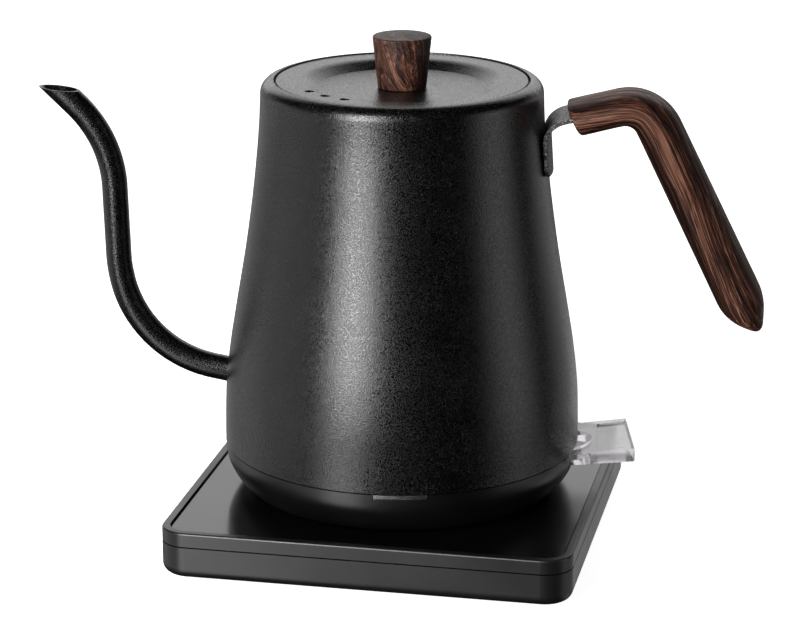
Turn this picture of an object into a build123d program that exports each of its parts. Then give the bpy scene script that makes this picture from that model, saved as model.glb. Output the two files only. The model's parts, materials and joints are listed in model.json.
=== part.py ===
"""Gooseneck electric kettle standing on its square power base.

Millimetres. +Z is up and the origin is on the kettle's axis, on the surface it stands on.
+X points to the handle and -X to the spout. The power base is turned a little about +Z.
"""

import os
from math import cos, radians, sin

from build123d import *

os.makedirs("parts", exist_ok=True)

# ---------------------------------------------------------------- driving dimensions
# power base
BASE_SIDE = 160
BASE_CORNER_R = 11
BASE_TURN = -7.6
BASE_WALL = 2.4
FOOT_H = 1.5
LOWER_TOP = 14.3
UPPER_BOTTOM = 14.8
RIM_TOP = 20.3
RIM_W = 3.3
RIM_ROUNDING = 0.8
PLATE_TOP = 19.3
PLATE_T = 1.6
DECK_T = 1.8
DECK_TOP = PLATE_TOP - PLATE_T
DECK_BOTTOM = DECK_TOP - DECK_T
BASE_FLOOR = FOOT_H + BASE_WALL

# round connector in the middle of the base, and the coupler that drops into it
COLUMN_R = 19
COLUMN_TOP = 30.5
COLUMN_BOTTOM = 6
FLANGE_R = 24
FLANGE_BOTTOM = 13.4
SOCKET_BOTTOM = 22
PIN_HOLE_R = 3.6
INNER_GROOVE_R = (7.4, 10.1)
OUTER_GROOVE_R = (12.4, 15.1)
CONTACT_T = 0.5
CONTACT_H = 5
COUPLER_PIN_R = 2
COUPLER_RING_T = 0.7
CARRIER_Z = 31.2
CARRIER_R = 17
CARRIER_T = 1.8

# vessel
SEAM_Z = 38
SEAM_GAP = 0.3
WALL = 0.9
SEAM_R = 70.4
NECK_R = 55
NECK_Z = 177.8
SHOULDER_TOP = 183.6
MOUTH_R = 49.4
LEDGE_TOP = 181.2
COLLAR_R = 45.8
COLLAR_BOTTOM = 176.5
FLOOR_Z = 50
FLOOR_R = 69
FLOOR_T = 1

# bottom cup
CUP_R = 70.1
CUP_BOTTOM = 19.8
CUP_WALL = 2.2
CUP_SOCKET_R = 21
CUP_FLOOR = CUP_BOTTOM + CUP_WALL
PILLAR_RING_R = 55

# spout
SPOUT_R = 5.05
SPOUT_WALL = 0.8

# handle
BRACKET_W = 27
STRAP_T = 1.7
GRIP_W = 29
TANG_W = 16

# switch lever
LEVER_W = 38
LEVER_NEAR_X = 93
LEVER_FAR_X = 89.6
LEVER_PIVOT = (52, 34.6)
LEVER_PIN_R = 1.5
ROCKER_PIVOT = (32.5, 36.2)
ROCKER_PIN_R = 1
RUNNING_GAP = 0.05

# lid
LID_R = 49
LID_TOP = 183.3
LID_FLOOR = 180.3
SKIRT_R = 44.4
SKIRT_BOTTOM = 170
KNOB_R_LOW = 9.4
KNOB_R_TOP = 11.5
KNOB_TOP = 200.5

# screws
SCREW_R = 1.5
SCREW_HEAD_R = 2.9
SCREW_HEAD_H = 2.4
SCREW_LENGTH = 12.5
RECESS_L = 3.4
RECESS_W = 0.9
RECESS_DEPTH = 1.2

base_x = (cos(radians(BASE_TURN)), sin(radians(BASE_TURN)), 0)
base_y = (-base_x[1], base_x[0], 0)
base_plane = Plane(origin=(0, 0, 0), x_dir=base_x, z_dir=(0, 0, 1))


# ---------------------------------------------------------------- power base: shells
FEET_SPACING = 2 * 60
BASE_SCREW_SPACING = (2 * 64, 2 * 38)
FOOT_R = 7
FOOT_RECESS = 0.8
SHELL_BOTTOM_ROUNDING = 4
PILLAR_R = 4.5
PILLAR_TOP = 9.8
BOSS_BOTTOM = 10
PILOT_R = 1.25
PILOT_DEPTH = 5.5
BASE_SCREW_HEAD_TOP = 5
CRADLE_R = (20, 22)
CRADLE_TOP = 13.2
GLAND_Z = 9.1
GLAND_NECK_R = 4.3
gland_plane = Plane(
    origin=base_plane.from_local_coords((0, BASE_SIDE / 2, GLAND_Z)), x_dir=base_x, z_dir=base_y
)

with BuildPart() as base_lower_shell:
    with BuildSketch(base_plane.offset(FOOT_H)):
        RectangleRounded(BASE_SIDE, BASE_SIDE, BASE_CORNER_R)
    extrude(amount=LOWER_TOP - FOOT_H)
    fillet(base_lower_shell.faces().sort_by(Axis.Z)[0].edges(), SHELL_BOTTOM_ROUNDING)
    offset(amount=-BASE_WALL, openings=base_lower_shell.faces().sort_by(Axis.Z)[-1])
    # pillars that the case screws pass through
    with BuildSketch(base_plane.offset(FOOT_H + 1)):
        with GridLocations(*BASE_SCREW_SPACING, 2, 2):
            Circle(PILLAR_R)
    extrude(amount=PILLAR_TOP - FOOT_H - 1)
    # round cradle that carries the connector
    with BuildSketch(base_plane.offset(FOOT_H + 1)):
        Circle(CRADLE_R[1])
        Circle(CRADLE_R[0], mode=Mode.SUBTRACT)
    extrude(amount=CRADLE_TOP - FOOT_H - 1)
    with BuildSketch(base_plane.offset(FOOT_H)):
        with GridLocations(*BASE_SCREW_SPACING, 2, 2):
            Circle(SCREW_R + 0.3)
    extrude(amount=PILLAR_TOP, mode=Mode.SUBTRACT)
    with BuildSketch(base_plane.offset(FOOT_H)):
        with GridLocations(*BASE_SCREW_SPACING, 2, 2):
            Circle(SCREW_HEAD_R + 0.3)
    extrude(amount=BASE_SCREW_HEAD_TOP - FOOT_H, mode=Mode.SUBTRACT)
    with BuildSketch(base_plane.offset(FOOT_H)):
        with GridLocations(FEET_SPACING, FEET_SPACING, 2, 2):
            Circle(FOOT_R)
    extrude(amount=FOOT_RECESS, mode=Mode.SUBTRACT)
    with BuildSketch(gland_plane):
        Circle(GLAND_NECK_R)
    extrude(amount=-2 * BASE_WALL, mode=Mode.SUBTRACT)
    # seat for the gland's outer lip
    with BuildSketch(gland_plane):
        Circle(GLAND_NECK_R + 0.7)
    extrude(amount=-1, mode=Mode.SUBTRACT)
base_lower_shell.part.label = "base_lower_shell"
export_step(base_lower_shell.part, "parts/base_lower_shell.step")

with BuildPart() as base_upper_shell:
    with BuildSketch(base_plane.offset(UPPER_BOTTOM)):
        RectangleRounded(BASE_SIDE, BASE_SIDE, BASE_CORNER_R)
    extrude(amount=RIM_TOP - UPPER_BOTTOM)
    fillet(base_upper_shell.faces().sort_by(Axis.Z)[-1].edges(), RIM_ROUNDING)
    with BuildSketch(base_plane.offset(RIM_TOP)):
        RectangleRounded(BASE_SIDE - 2 * RIM_W, BASE_SIDE - 2 * RIM_W, BASE_CORNER_R - RIM_W)
    extrude(amount=DECK_TOP - RIM_TOP, mode=Mode.SUBTRACT)
    fillet(base_upper_shell.faces().sort_by(Axis.Z)[-1].inner_wires()[0].edges(), 0.3)
    with BuildSketch(base_plane.offset(UPPER_BOTTOM)):
        RectangleRounded(BASE_SIDE - 2 * BASE_WALL, BASE_SIDE - 2 * BASE_WALL, BASE_CORNER_R - BASE_WALL)
    extrude(amount=DECK_BOTTOM - UPPER_BOTTOM, mode=Mode.SUBTRACT)
    # blind bosses that take the case screws
    with BuildSketch(base_plane.offset(BOSS_BOTTOM)):
        with GridLocations(*BASE_SCREW_SPACING, 2, 2):
            Circle(PILLAR_R)
    extrude(amount=DECK_BOTTOM - BOSS_BOTTOM)
    with BuildSketch(base_plane.offset(BOSS_BOTTOM)):
        with GridLocations(*BASE_SCREW_SPACING, 2, 2):
            Circle(PILOT_R)
    extrude(amount=PILOT_DEPTH, mode=Mode.SUBTRACT)
    with BuildSketch(base_plane.offset(DECK_BOTTOM)):
        Circle(COLUMN_R + 0.2)
    extrude(amount=DECK_T, mode=Mode.SUBTRACT)
base_upper_shell.part.label = "base_upper_shell"
export_step(base_upper_shell.part, "parts/base_upper_shell.step")

PLATE_SIDE = BASE_SIDE - 2 * RIM_W - 0.3
with BuildPart() as base_top_plate:
    with BuildSketch(base_plane.offset(DECK_TOP)):
        RectangleRounded(PLATE_SIDE, PLATE_SIDE, BASE_CORNER_R - RIM_W)
        Circle(COLUMN_R + 0.6, mode=Mode.SUBTRACT)
    extrude(amount=PLATE_T)
    chamfer(base_top_plate.faces().sort_by(Axis.Z)[-1].edges(), 0.3)
base_top_plate.part.label = "base_top_plate"
export_step(base_top_plate.part, "parts/base_top_plate.step")

with BuildPart() as base_feet:
    with BuildSketch(base_plane):
        with GridLocations(FEET_SPACING, FEET_SPACING, 2, 2):
            Circle(FOOT_R - 0.1)
    extrude(amount=FOOT_H + FOOT_RECESS)
    chamfer(base_feet.edges().group_by(Axis.Z)[0], 0.4)
base_feet.part.label = "base_feet"
export_step(base_feet.part, "parts/base_feet.step")

BASE_SCREW_HEAD_Z = BASE_SCREW_HEAD_TOP - SCREW_HEAD_H - 0.1
with BuildPart() as base_screws:
    with BuildSketch(base_plane.offset(BASE_SCREW_HEAD_Z)):
        with GridLocations(*BASE_SCREW_SPACING, 2, 2):
            Circle(SCREW_HEAD_R)
    extrude(amount=SCREW_HEAD_H)
    with BuildSketch(base_plane.offset(BASE_SCREW_HEAD_Z)):
        with GridLocations(*BASE_SCREW_SPACING, 2, 2):
            Circle(PILOT_R)
    extrude(amount=SCREW_LENGTH)
    # cross recess
    with BuildSketch(base_plane.offset(BASE_SCREW_HEAD_Z)):
        with GridLocations(*BASE_SCREW_SPACING, 2, 2):
            Rectangle(RECESS_L, RECESS_W)
            Rectangle(RECESS_W, RECESS_L)
    extrude(amount=RECESS_DEPTH, mode=Mode.SUBTRACT)
base_screws.part.label = "base_screws"
export_step(base_screws.part, "parts/base_screws.step")


# ---------------------------------------------------------------- power base: electrics
with BuildPart() as base_connector:
    with BuildSketch(Plane.XY.offset(FLANGE_BOTTOM)):
        Circle(FLANGE_R)
    extrude(amount=DECK_BOTTOM - FLANGE_BOTTOM)
    with BuildSketch(Plane.XY.offset(COLUMN_BOTTOM)):
        Circle(COLUMN_R)
    extrude(amount=COLUMN_TOP - COLUMN_BOTTOM)
    fillet(base_connector.edges().group_by(Axis.Z)[-1], 2)
    with BuildSketch(Plane.XY.offset(COLUMN_TOP)):
        Circle(OUTER_GROOVE_R[1])
        Circle(OUTER_GROOVE_R[0], mode=Mode.SUBTRACT)
        Circle(INNER_GROOVE_R[1])
        Circle(INNER_GROOVE_R[0], mode=Mode.SUBTRACT)
        Circle(PIN_HOLE_R)
    extrude(amount=SOCKET_BOTTOM - COLUMN_TOP, mode=Mode.SUBTRACT)
base_connector.part.label = "base_connector"
export_step(base_connector.part, "parts/base_connector.step")

with BuildPart() as base_outer_contact:
    with BuildSketch(Plane.XY.offset(SOCKET_BOTTOM)):
        Circle(OUTER_GROOVE_R[1])
        Circle(OUTER_GROOVE_R[1] - CONTACT_T, mode=Mode.SUBTRACT)
    extrude(amount=CONTACT_H)
base_outer_contact.part.label = "base_outer_contact"
export_step(base_outer_contact.part, "parts/base_outer_contact.step")

with BuildPart() as base_inner_contact:
    with BuildSketch(Plane.XY.offset(SOCKET_BOTTOM)):
        Circle(INNER_GROOVE_R[0] + CONTACT_T)
        Circle(INNER_GROOVE_R[0], mode=Mode.SUBTRACT)
    extrude(amount=CONTACT_H)
base_inner_contact.part.label = "base_inner_contact"
export_step(base_inner_contact.part, "parts/base_inner_contact.step")

with BuildPart() as base_pin_sleeve:
    with BuildSketch(Plane.XY.offset(SOCKET_BOTTOM)):
        Circle(PIN_HOLE_R)
        Circle(PIN_HOLE_R - CONTACT_T, mode=Mode.SUBTRACT)
    extrude(amount=CONTACT_H)
base_pin_sleeve.part.label = "base_pin_sleeve"
export_step(base_pin_sleeve.part, "parts/base_pin_sleeve.step")

BLOCK_SIZE = (26, 13, 9)
BLOCK_Y = 50
WIRE_PITCH = 8
WIRE_HOLE_R = 1.6
WIRE_HOLE_Z = BASE_FLOOR + 3.2
TERMINAL_DEPTH = 4.2
TERMINAL_SCREW_H = 3.6
block_plane = Plane(
    origin=base_plane.from_local_coords((0, BLOCK_Y, BASE_FLOOR)), x_dir=base_x, z_dir=(0, 0, 1)
)
block_face_plane = Plane(
    origin=base_plane.from_local_coords((0, BLOCK_Y + BLOCK_SIZE[1] / 2, WIRE_HOLE_Z)),
    x_dir=base_x,
    z_dir=base_y,
)
with BuildPart() as base_terminal_block:
    with BuildSketch(block_plane):
        Rectangle(BLOCK_SIZE[0], BLOCK_SIZE[1])
    extrude(amount=BLOCK_SIZE[2])
    chamfer(base_terminal_block.faces().sort_by(Axis.Z)[-1].edges(), 0.8)
    with BuildSketch(block_face_plane):
        with GridLocations(WIRE_PITCH, 1, 3, 1):
            Circle(WIRE_HOLE_R)
    extrude(amount=-BLOCK_SIZE[1], mode=Mode.SUBTRACT)
    with BuildSketch(block_plane.offset(BLOCK_SIZE[2])):
        with GridLocations(WIRE_PITCH, 1, 3, 1):
            Circle(SCREW_R + 0.4)
    extrude(amount=-TERMINAL_DEPTH, mode=Mode.SUBTRACT)
base_terminal_block.part.label = "base_terminal_block"
export_step(base_terminal_block.part, "parts/base_terminal_block.step")

with BuildPart() as terminal_screws:
    with BuildSketch(block_plane.offset(BLOCK_SIZE[2] - TERMINAL_DEPTH)):
        with GridLocations(WIRE_PITCH, 1, 3, 1):
            Circle(SCREW_R + 0.3)
    extrude(amount=TERMINAL_SCREW_H)
    with BuildSketch(block_plane.offset(BLOCK_SIZE[2] - TERMINAL_DEPTH + TERMINAL_SCREW_H)):
        with GridLocations(WIRE_PITCH, 1, 3, 1):
            Rectangle(4, 0.7)
    extrude(amount=-0.9, mode=Mode.SUBTRACT)
terminal_screws.part.label = "terminal_screws"
export_step(terminal_screws.part, "parts/terminal_screws.step")

GLAND_BORE_R = 3.1
GLAND_LENGTH = 7.5
GLAND_LIP_R = GLAND_NECK_R + 0.6
with BuildPart() as cord_gland:
    with BuildSketch(gland_plane):
        Circle(GLAND_LIP_R)
    extrude(amount=-0.95)
    with BuildSketch(gland_plane):
        Circle(GLAND_NECK_R - 0.1)
    extrude(amount=-GLAND_LENGTH)
    # inner collar that stops the gland pulling out
    with BuildSketch(gland_plane.offset(-BASE_WALL - 1.3)):
        Circle(GLAND_LIP_R)
    extrude(amount=-1.5)
    with BuildSketch(gland_plane):
        Circle(GLAND_BORE_R)
    extrude(amount=-GLAND_LENGTH, mode=Mode.SUBTRACT)
cord_gland.part.label = "cord_gland"
export_step(cord_gland.part, "parts/cord_gland.step")


# ---------------------------------------------------------------- coupler: plugs into the base connector
INNER_RING_R = 8.75
OUTER_RING_R = 13.75
RING_BOTTOM = 24.5
COUPLER_PIN_BOTTOM = 23.5

with BuildPart() as coupler_carrier:
    with BuildSketch(Plane.XY.offset(CARRIER_Z)):
        Circle(CARRIER_R)
    extrude(amount=CARRIER_T)
    chamfer(coupler_carrier.edges(), 0.3)
coupler_carrier.part.label = "coupler_carrier"
export_step(coupler_carrier.part, "parts/coupler_carrier.step")

with BuildPart() as coupler_pin:
    with BuildSketch(Plane.XY.offset(COUPLER_PIN_BOTTOM)):
        Circle(COUPLER_PIN_R)
    extrude(amount=CARRIER_Z - COUPLER_PIN_BOTTOM)
    fillet(coupler_pin.edges().group_by(Axis.Z)[0], 1)
coupler_pin.part.label = "coupler_pin"
export_step(coupler_pin.part, "parts/coupler_pin.step")

with BuildPart() as coupler_inner_ring:
    with BuildSketch(Plane.XY.offset(RING_BOTTOM)):
        Circle(INNER_RING_R + COUPLER_RING_T / 2)
        Circle(INNER_RING_R - COUPLER_RING_T / 2, mode=Mode.SUBTRACT)
    extrude(amount=CARRIER_Z - RING_BOTTOM)
coupler_inner_ring.part.label = "coupler_inner_ring"
export_step(coupler_inner_ring.part, "parts/coupler_inner_ring.step")

with BuildPart() as coupler_outer_ring:
    with BuildSketch(Plane.XY.offset(RING_BOTTOM)):
        Circle(OUTER_RING_R + COUPLER_RING_T / 2)
        Circle(OUTER_RING_R - COUPLER_RING_T / 2, mode=Mode.SUBTRACT)
    extrude(amount=CARRIER_Z - RING_BOTTOM)
coupler_outer_ring.part.label = "coupler_outer_ring"
export_step(coupler_outer_ring.part, "parts/coupler_outer_ring.step")


# ---------------------------------------------------------------- vessel
# radius of the outer wall at a few heights, from the seam up to the neck
WALL_STATIONS = (
    (SEAM_R, SEAM_Z + SEAM_GAP),
    (69.9, 60),
    (66, 90),
    (60.9, 120),
    (57, 150),
    (NECK_R, NECK_Z),
)


def wall_line(inset=0.0):
    """The side wall's curve, moved inward by inset."""
    return Spline(*[(r - inset, z) for r, z in WALL_STATIONS], tangents=((0, 1), (-0.1, 1)))


SPOUT_ROOT = (-60, 62.3)
SPOUT_ROOT_X = -66.5
SPOUT_ROOT_DIRECTION = (-45.7, 0, 8.9)
SPOUT_CORNERS = ((-105.7, 71.2), (-112.4, 106.9), (-113.9, 157.7))
SPOUT_BENDS = (45.7, 55.7, 48.1)
SPOUT_END = (-155, 198.3)
MOUTH_HEEL = (-125.6, 176.8)
MOUTH_SLOPE = 6.1

with BuildPart() as vessel_shell:
    with BuildSketch(Plane.XZ):
        with BuildLine():
            outer = wall_line()
            shoulder = TangentArc(outer @ 1, (MOUTH_R + 0.6, SHOULDER_TOP), tangent=outer % 1)
            Polyline(
                shoulder @ 1,
                (MOUTH_R, SHOULDER_TOP - 0.5),
                (MOUTH_R, LEDGE_TOP),
                (COLLAR_R, LEDGE_TOP),
                (COLLAR_R, COLLAR_BOTTOM),
                (COLLAR_R + WALL, COLLAR_BOTTOM),
                (COLLAR_R + WALL, LEDGE_TOP - WALL),
                (MOUTH_R + WALL, LEDGE_TOP - WALL),
                (MOUTH_R + WALL, SHOULDER_TOP - WALL - 0.1),
            )
            inner = wall_line(WALL)
            TangentArc(inner @ 1, (MOUTH_R + WALL, SHOULDER_TOP - WALL - 0.1), tangent=inner % 1)
            Line(inner @ 0, outer @ 0)
        make_face()
    revolve(axis=Axis.Z)
    # hole that the spout is welded into
    with BuildSketch(Plane(origin=(SPOUT_ROOT[0], 0, SPOUT_ROOT[1]), z_dir=SPOUT_ROOT_DIRECTION)):
        Circle(SPOUT_R + 0.03)
    extrude(amount=20, mode=Mode.SUBTRACT)
vessel_shell.part.label = "vessel_shell"
export_step(vessel_shell.part, "parts/vessel_shell.step")

FLOOR_EDGE_H = 6
STUD_R = 3.2
STUD_BOTTOM = 44
STUD_HOLE_DEPTH = 5
STEAM_X = 49
STEAM_TUBE_R = 3.5
with BuildPart() as vessel_floor:
    with BuildSketch(Plane.XY.offset(FLOOR_Z)):
        Circle(FLOOR_R)
    extrude(amount=FLOOR_T)
    # upturned edge that is welded to the wall
    with BuildSketch(Plane.XY.offset(FLOOR_Z)):
        Circle(FLOOR_R)
        Circle(FLOOR_R - WALL, mode=Mode.SUBTRACT)
    extrude(amount=FLOOR_EDGE_H)
    with BuildSketch(Plane.XY.offset(STUD_BOTTOM)):
        with PolarLocations(PILLAR_RING_R, 3, start_angle=60):
            Circle(STUD_R)
    extrude(amount=FLOOR_Z - STUD_BOTTOM)
    with BuildSketch(Plane.XY.offset(STUD_BOTTOM)):
        with PolarLocations(PILLAR_RING_R, 3, start_angle=60):
            Circle(PILOT_R)
    extrude(amount=STUD_HOLE_DEPTH, mode=Mode.SUBTRACT)
    with BuildSketch(Plane.XY.offset(FLOOR_Z)):
        with Locations((STEAM_X, 0)):
            Circle(STEAM_TUBE_R + 1)
    extrude(amount=FLOOR_T, mode=Mode.SUBTRACT)
vessel_floor.part.label = "vessel_floor"
export_step(vessel_floor.part, "parts/vessel_floor.step")

spout_mouth_plane = Plane(
    origin=(MOUTH_HEEL[0], 0, MOUTH_HEEL[1]),
    x_dir=(-cos(radians(MOUTH_SLOPE)), 0, sin(radians(MOUTH_SLOPE))),
    z_dir=(sin(radians(MOUTH_SLOPE)), 0, cos(radians(MOUTH_SLOPE))),
)
with BuildPart() as spout_tube:
    with BuildLine(Plane.XZ) as spout_path:
        FilletPolyline(SPOUT_ROOT, *SPOUT_CORNERS, SPOUT_END, radius=SPOUT_BENDS)
    with BuildSketch(Plane(origin=spout_path.line @ 0, z_dir=spout_path.line % 0)):
        Circle(SPOUT_R)
        Circle(SPOUT_R - SPOUT_WALL, mode=Mode.SUBTRACT)
    sweep()
    # the mouth is cut almost level
    split(bisect_by=spout_mouth_plane, keep=Keep.BOTTOM)
    # the root stops just inside the vessel wall
    split(bisect_by=Plane.YZ.offset(SPOUT_ROOT_X), keep=Keep.BOTTOM)
spout_tube.part.label = "spout_tube"
export_step(spout_tube.part, "parts/spout_tube.step")


# ---------------------------------------------------------------- heating and steam parts under the vessel
SPREADER_R = 44
SPREADER_T = 3
ELEMENT_R = 3.3
ELEMENT_RING_R = 37
ELEMENT_GAP_ANGLE = 70
COLD_PIN_R = 1.2
COLD_PIN_LENGTH = 8
with BuildPart() as heat_spreader:
    with BuildSketch(Plane.XY.offset(FLOOR_Z - SPREADER_T)):
        Circle(SPREADER_R)
    extrude(amount=SPREADER_T)
    chamfer(heat_spreader.edges().group_by(Axis.Z)[0], 0.8)
heat_spreader.part.label = "heat_spreader"
export_step(heat_spreader.part, "parts/heat_spreader.step")

element_z = FLOOR_Z - SPREADER_T - ELEMENT_R
with BuildPart() as heating_element:
    with BuildLine(Plane.XY.offset(element_z)) as element_path:
        CenterArc((0, 0), ELEMENT_RING_R, 180 + ELEMENT_GAP_ANGLE / 2, 360 - ELEMENT_GAP_ANGLE)
    with BuildSketch(Plane(origin=element_path.line @ 0, z_dir=element_path.line % 0)):
        Circle(ELEMENT_R)
    sweep()
    # cold pins at both ends
    with BuildSketch(Plane(origin=element_path.line @ 0, z_dir=-(element_path.line % 0))):
        Circle(COLD_PIN_R)
    extrude(amount=COLD_PIN_LENGTH)
    with BuildSketch(Plane(origin=element_path.line @ 1, z_dir=element_path.line % 1)):
        Circle(COLD_PIN_R)
    extrude(amount=COLD_PIN_LENGTH)
heating_element.part.label = "heating_element"
export_step(heating_element.part, "parts/heating_element.step")

CONTROL_R = 27
CONTROL_BOTTOM = 33.4
CONTROL_TOP = 46
ROCKER_HALF_W = 6
EAR_T = 2
EAR_H = 5.4
EAR_X = 29
rocker_ear_y = ROCKER_HALF_W + 0.3 + EAR_T / 2
with BuildPart() as thermostat_control:
    with BuildSketch(Plane.XY.offset(CONTROL_BOTTOM)):
        Circle(CONTROL_R)
    extrude(amount=CONTROL_TOP - CONTROL_BOTTOM)
    fillet(thermostat_control.edges().group_by(Axis.Z)[-1], 1.5)
    # two ears that carry the trip rocker
    with BuildSketch(Plane.XY.offset(CONTROL_BOTTOM)):
        with Locations((EAR_X, rocker_ear_y), (EAR_X, -rocker_ear_y)):
            Rectangle(12, EAR_T)
    extrude(amount=EAR_H)
    with BuildSketch(Plane.XZ):
        with Locations(ROCKER_PIVOT):
            Circle(ROCKER_PIN_R)
    extrude(amount=12, both=True, mode=Mode.SUBTRACT)
thermostat_control.part.label = "thermostat_control"
export_step(thermostat_control.part, "parts/thermostat_control.step")

DISC_R = 6.5
DISC_Y = 14
DISC_T = 0.5
with BuildPart() as dry_boil_discs:
    with BuildSketch(Plane.XY.offset(CONTROL_TOP + 0.1)):
        with Locations((0, DISC_Y), (0, -DISC_Y)):
            Circle(DISC_R)
    extrude(amount=DISC_T)
dry_boil_discs.part.label = "dry_boil_discs"
export_step(dry_boil_discs.part, "parts/dry_boil_discs.step")

STEAM_TOP = 168
STEAM_BOTTOM = 42
STEAM_TUBE_WALL = 0.6
with BuildPart() as steam_tube:
    with BuildSketch(Plane.XY.offset(STEAM_BOTTOM)):
        with Locations((STEAM_X, 0)):
            Circle(STEAM_TUBE_R)
            Circle(STEAM_TUBE_R - STEAM_TUBE_WALL, mode=Mode.SUBTRACT)
    extrude(amount=STEAM_TOP - STEAM_BOTTOM)
steam_tube.part.label = "steam_tube"
export_step(steam_tube.part, "parts/steam_tube.step")

with BuildPart() as steam_tube_grommet:
    with BuildSketch(Plane.XY.offset(FLOOR_Z - 1.5)):
        with Locations((STEAM_X, 0)):
            Circle(STEAM_TUBE_R + 0.95)
    extrude(amount=4)
    with BuildSketch(Plane.XY.offset(FLOOR_Z + 1.05)):
        with Locations((STEAM_X, 0)):
            Circle(STEAM_TUBE_R + 2.5)
    extrude(amount=1.5)
    with BuildSketch(Plane.XY.offset(FLOOR_Z - 1.5)):
        with Locations((STEAM_X, 0)):
            Circle(STEAM_TUBE_R + 0.02)
    extrude(amount=5, mode=Mode.SUBTRACT)
steam_tube_grommet.part.label = "steam_tube_grommet"
export_step(steam_tube_grommet.part, "parts/steam_tube_grommet.step")

EAR_TOP = 38.2
EAR_INNER_Y = 12.8
EAR_OUTER_Y = 15.8
BIMETAL_CARRIER_T = 1.7
BIMETAL_R = 6.3
BIMETAL_T = 0.4
with BuildPart() as bimetal_carrier:
    with BuildSketch(Plane.XY.offset(EAR_TOP + 0.05)):
        with Locations((STEAM_X + 0.5, 0)):
            RectangleRounded(15, 2 * EAR_OUTER_Y, 2)
        with Locations((STEAM_X, 0)):
            Circle(STEAM_TUBE_R + 1.7, mode=Mode.SUBTRACT)
    extrude(amount=BIMETAL_CARRIER_T)
bimetal_carrier.part.label = "bimetal_carrier"
export_step(bimetal_carrier.part, "parts/bimetal_carrier.step")

with BuildPart() as steam_bimetal:
    with BuildSketch(Plane.XY.offset(EAR_TOP + BIMETAL_CARRIER_T + 0.15)):
        with Locations((STEAM_X, 0)):
            Circle(BIMETAL_R)
    extrude(amount=BIMETAL_T)
steam_bimetal.part.label = "steam_bimetal"
export_step(steam_bimetal.part, "parts/steam_bimetal.step")


# ---------------------------------------------------------------- bottom cup
LIP_R = 68
LIP_TOP = 44
LIP_T = 1.6
CUP_LIP_Z = SEAM_Z - SEAM_GAP
CUP_SOCKET_TOP = 33
# outer and inner curves of the rounded bottom edge, from the floor up to the seam
CUP_OUTER = ((57, CUP_BOTTOM), (63.4, 22), (68.9, 30), (CUP_R, CUP_LIP_Z))
CUP_INNER = ((LIP_R - LIP_T, SEAM_Z - 1.5), (65.4, 31), (61.4, 24.4), (56, CUP_FLOOR))
CUP_PILLAR_R = 4.2
SLOT_HALF_W = LEVER_W / 2 + 0.9
SLOT_BOTTOM = 28.6
COUNTERBORE_TOP = 26
NOTCH_ANGLES = (-95.3, -78)
NOTCH_H = 1.6
LAMP_X = 57.5
LAMP_Z = 26.5
LAMP_R = 2.4
LAMP_HALF_LENGTH = 7

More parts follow.
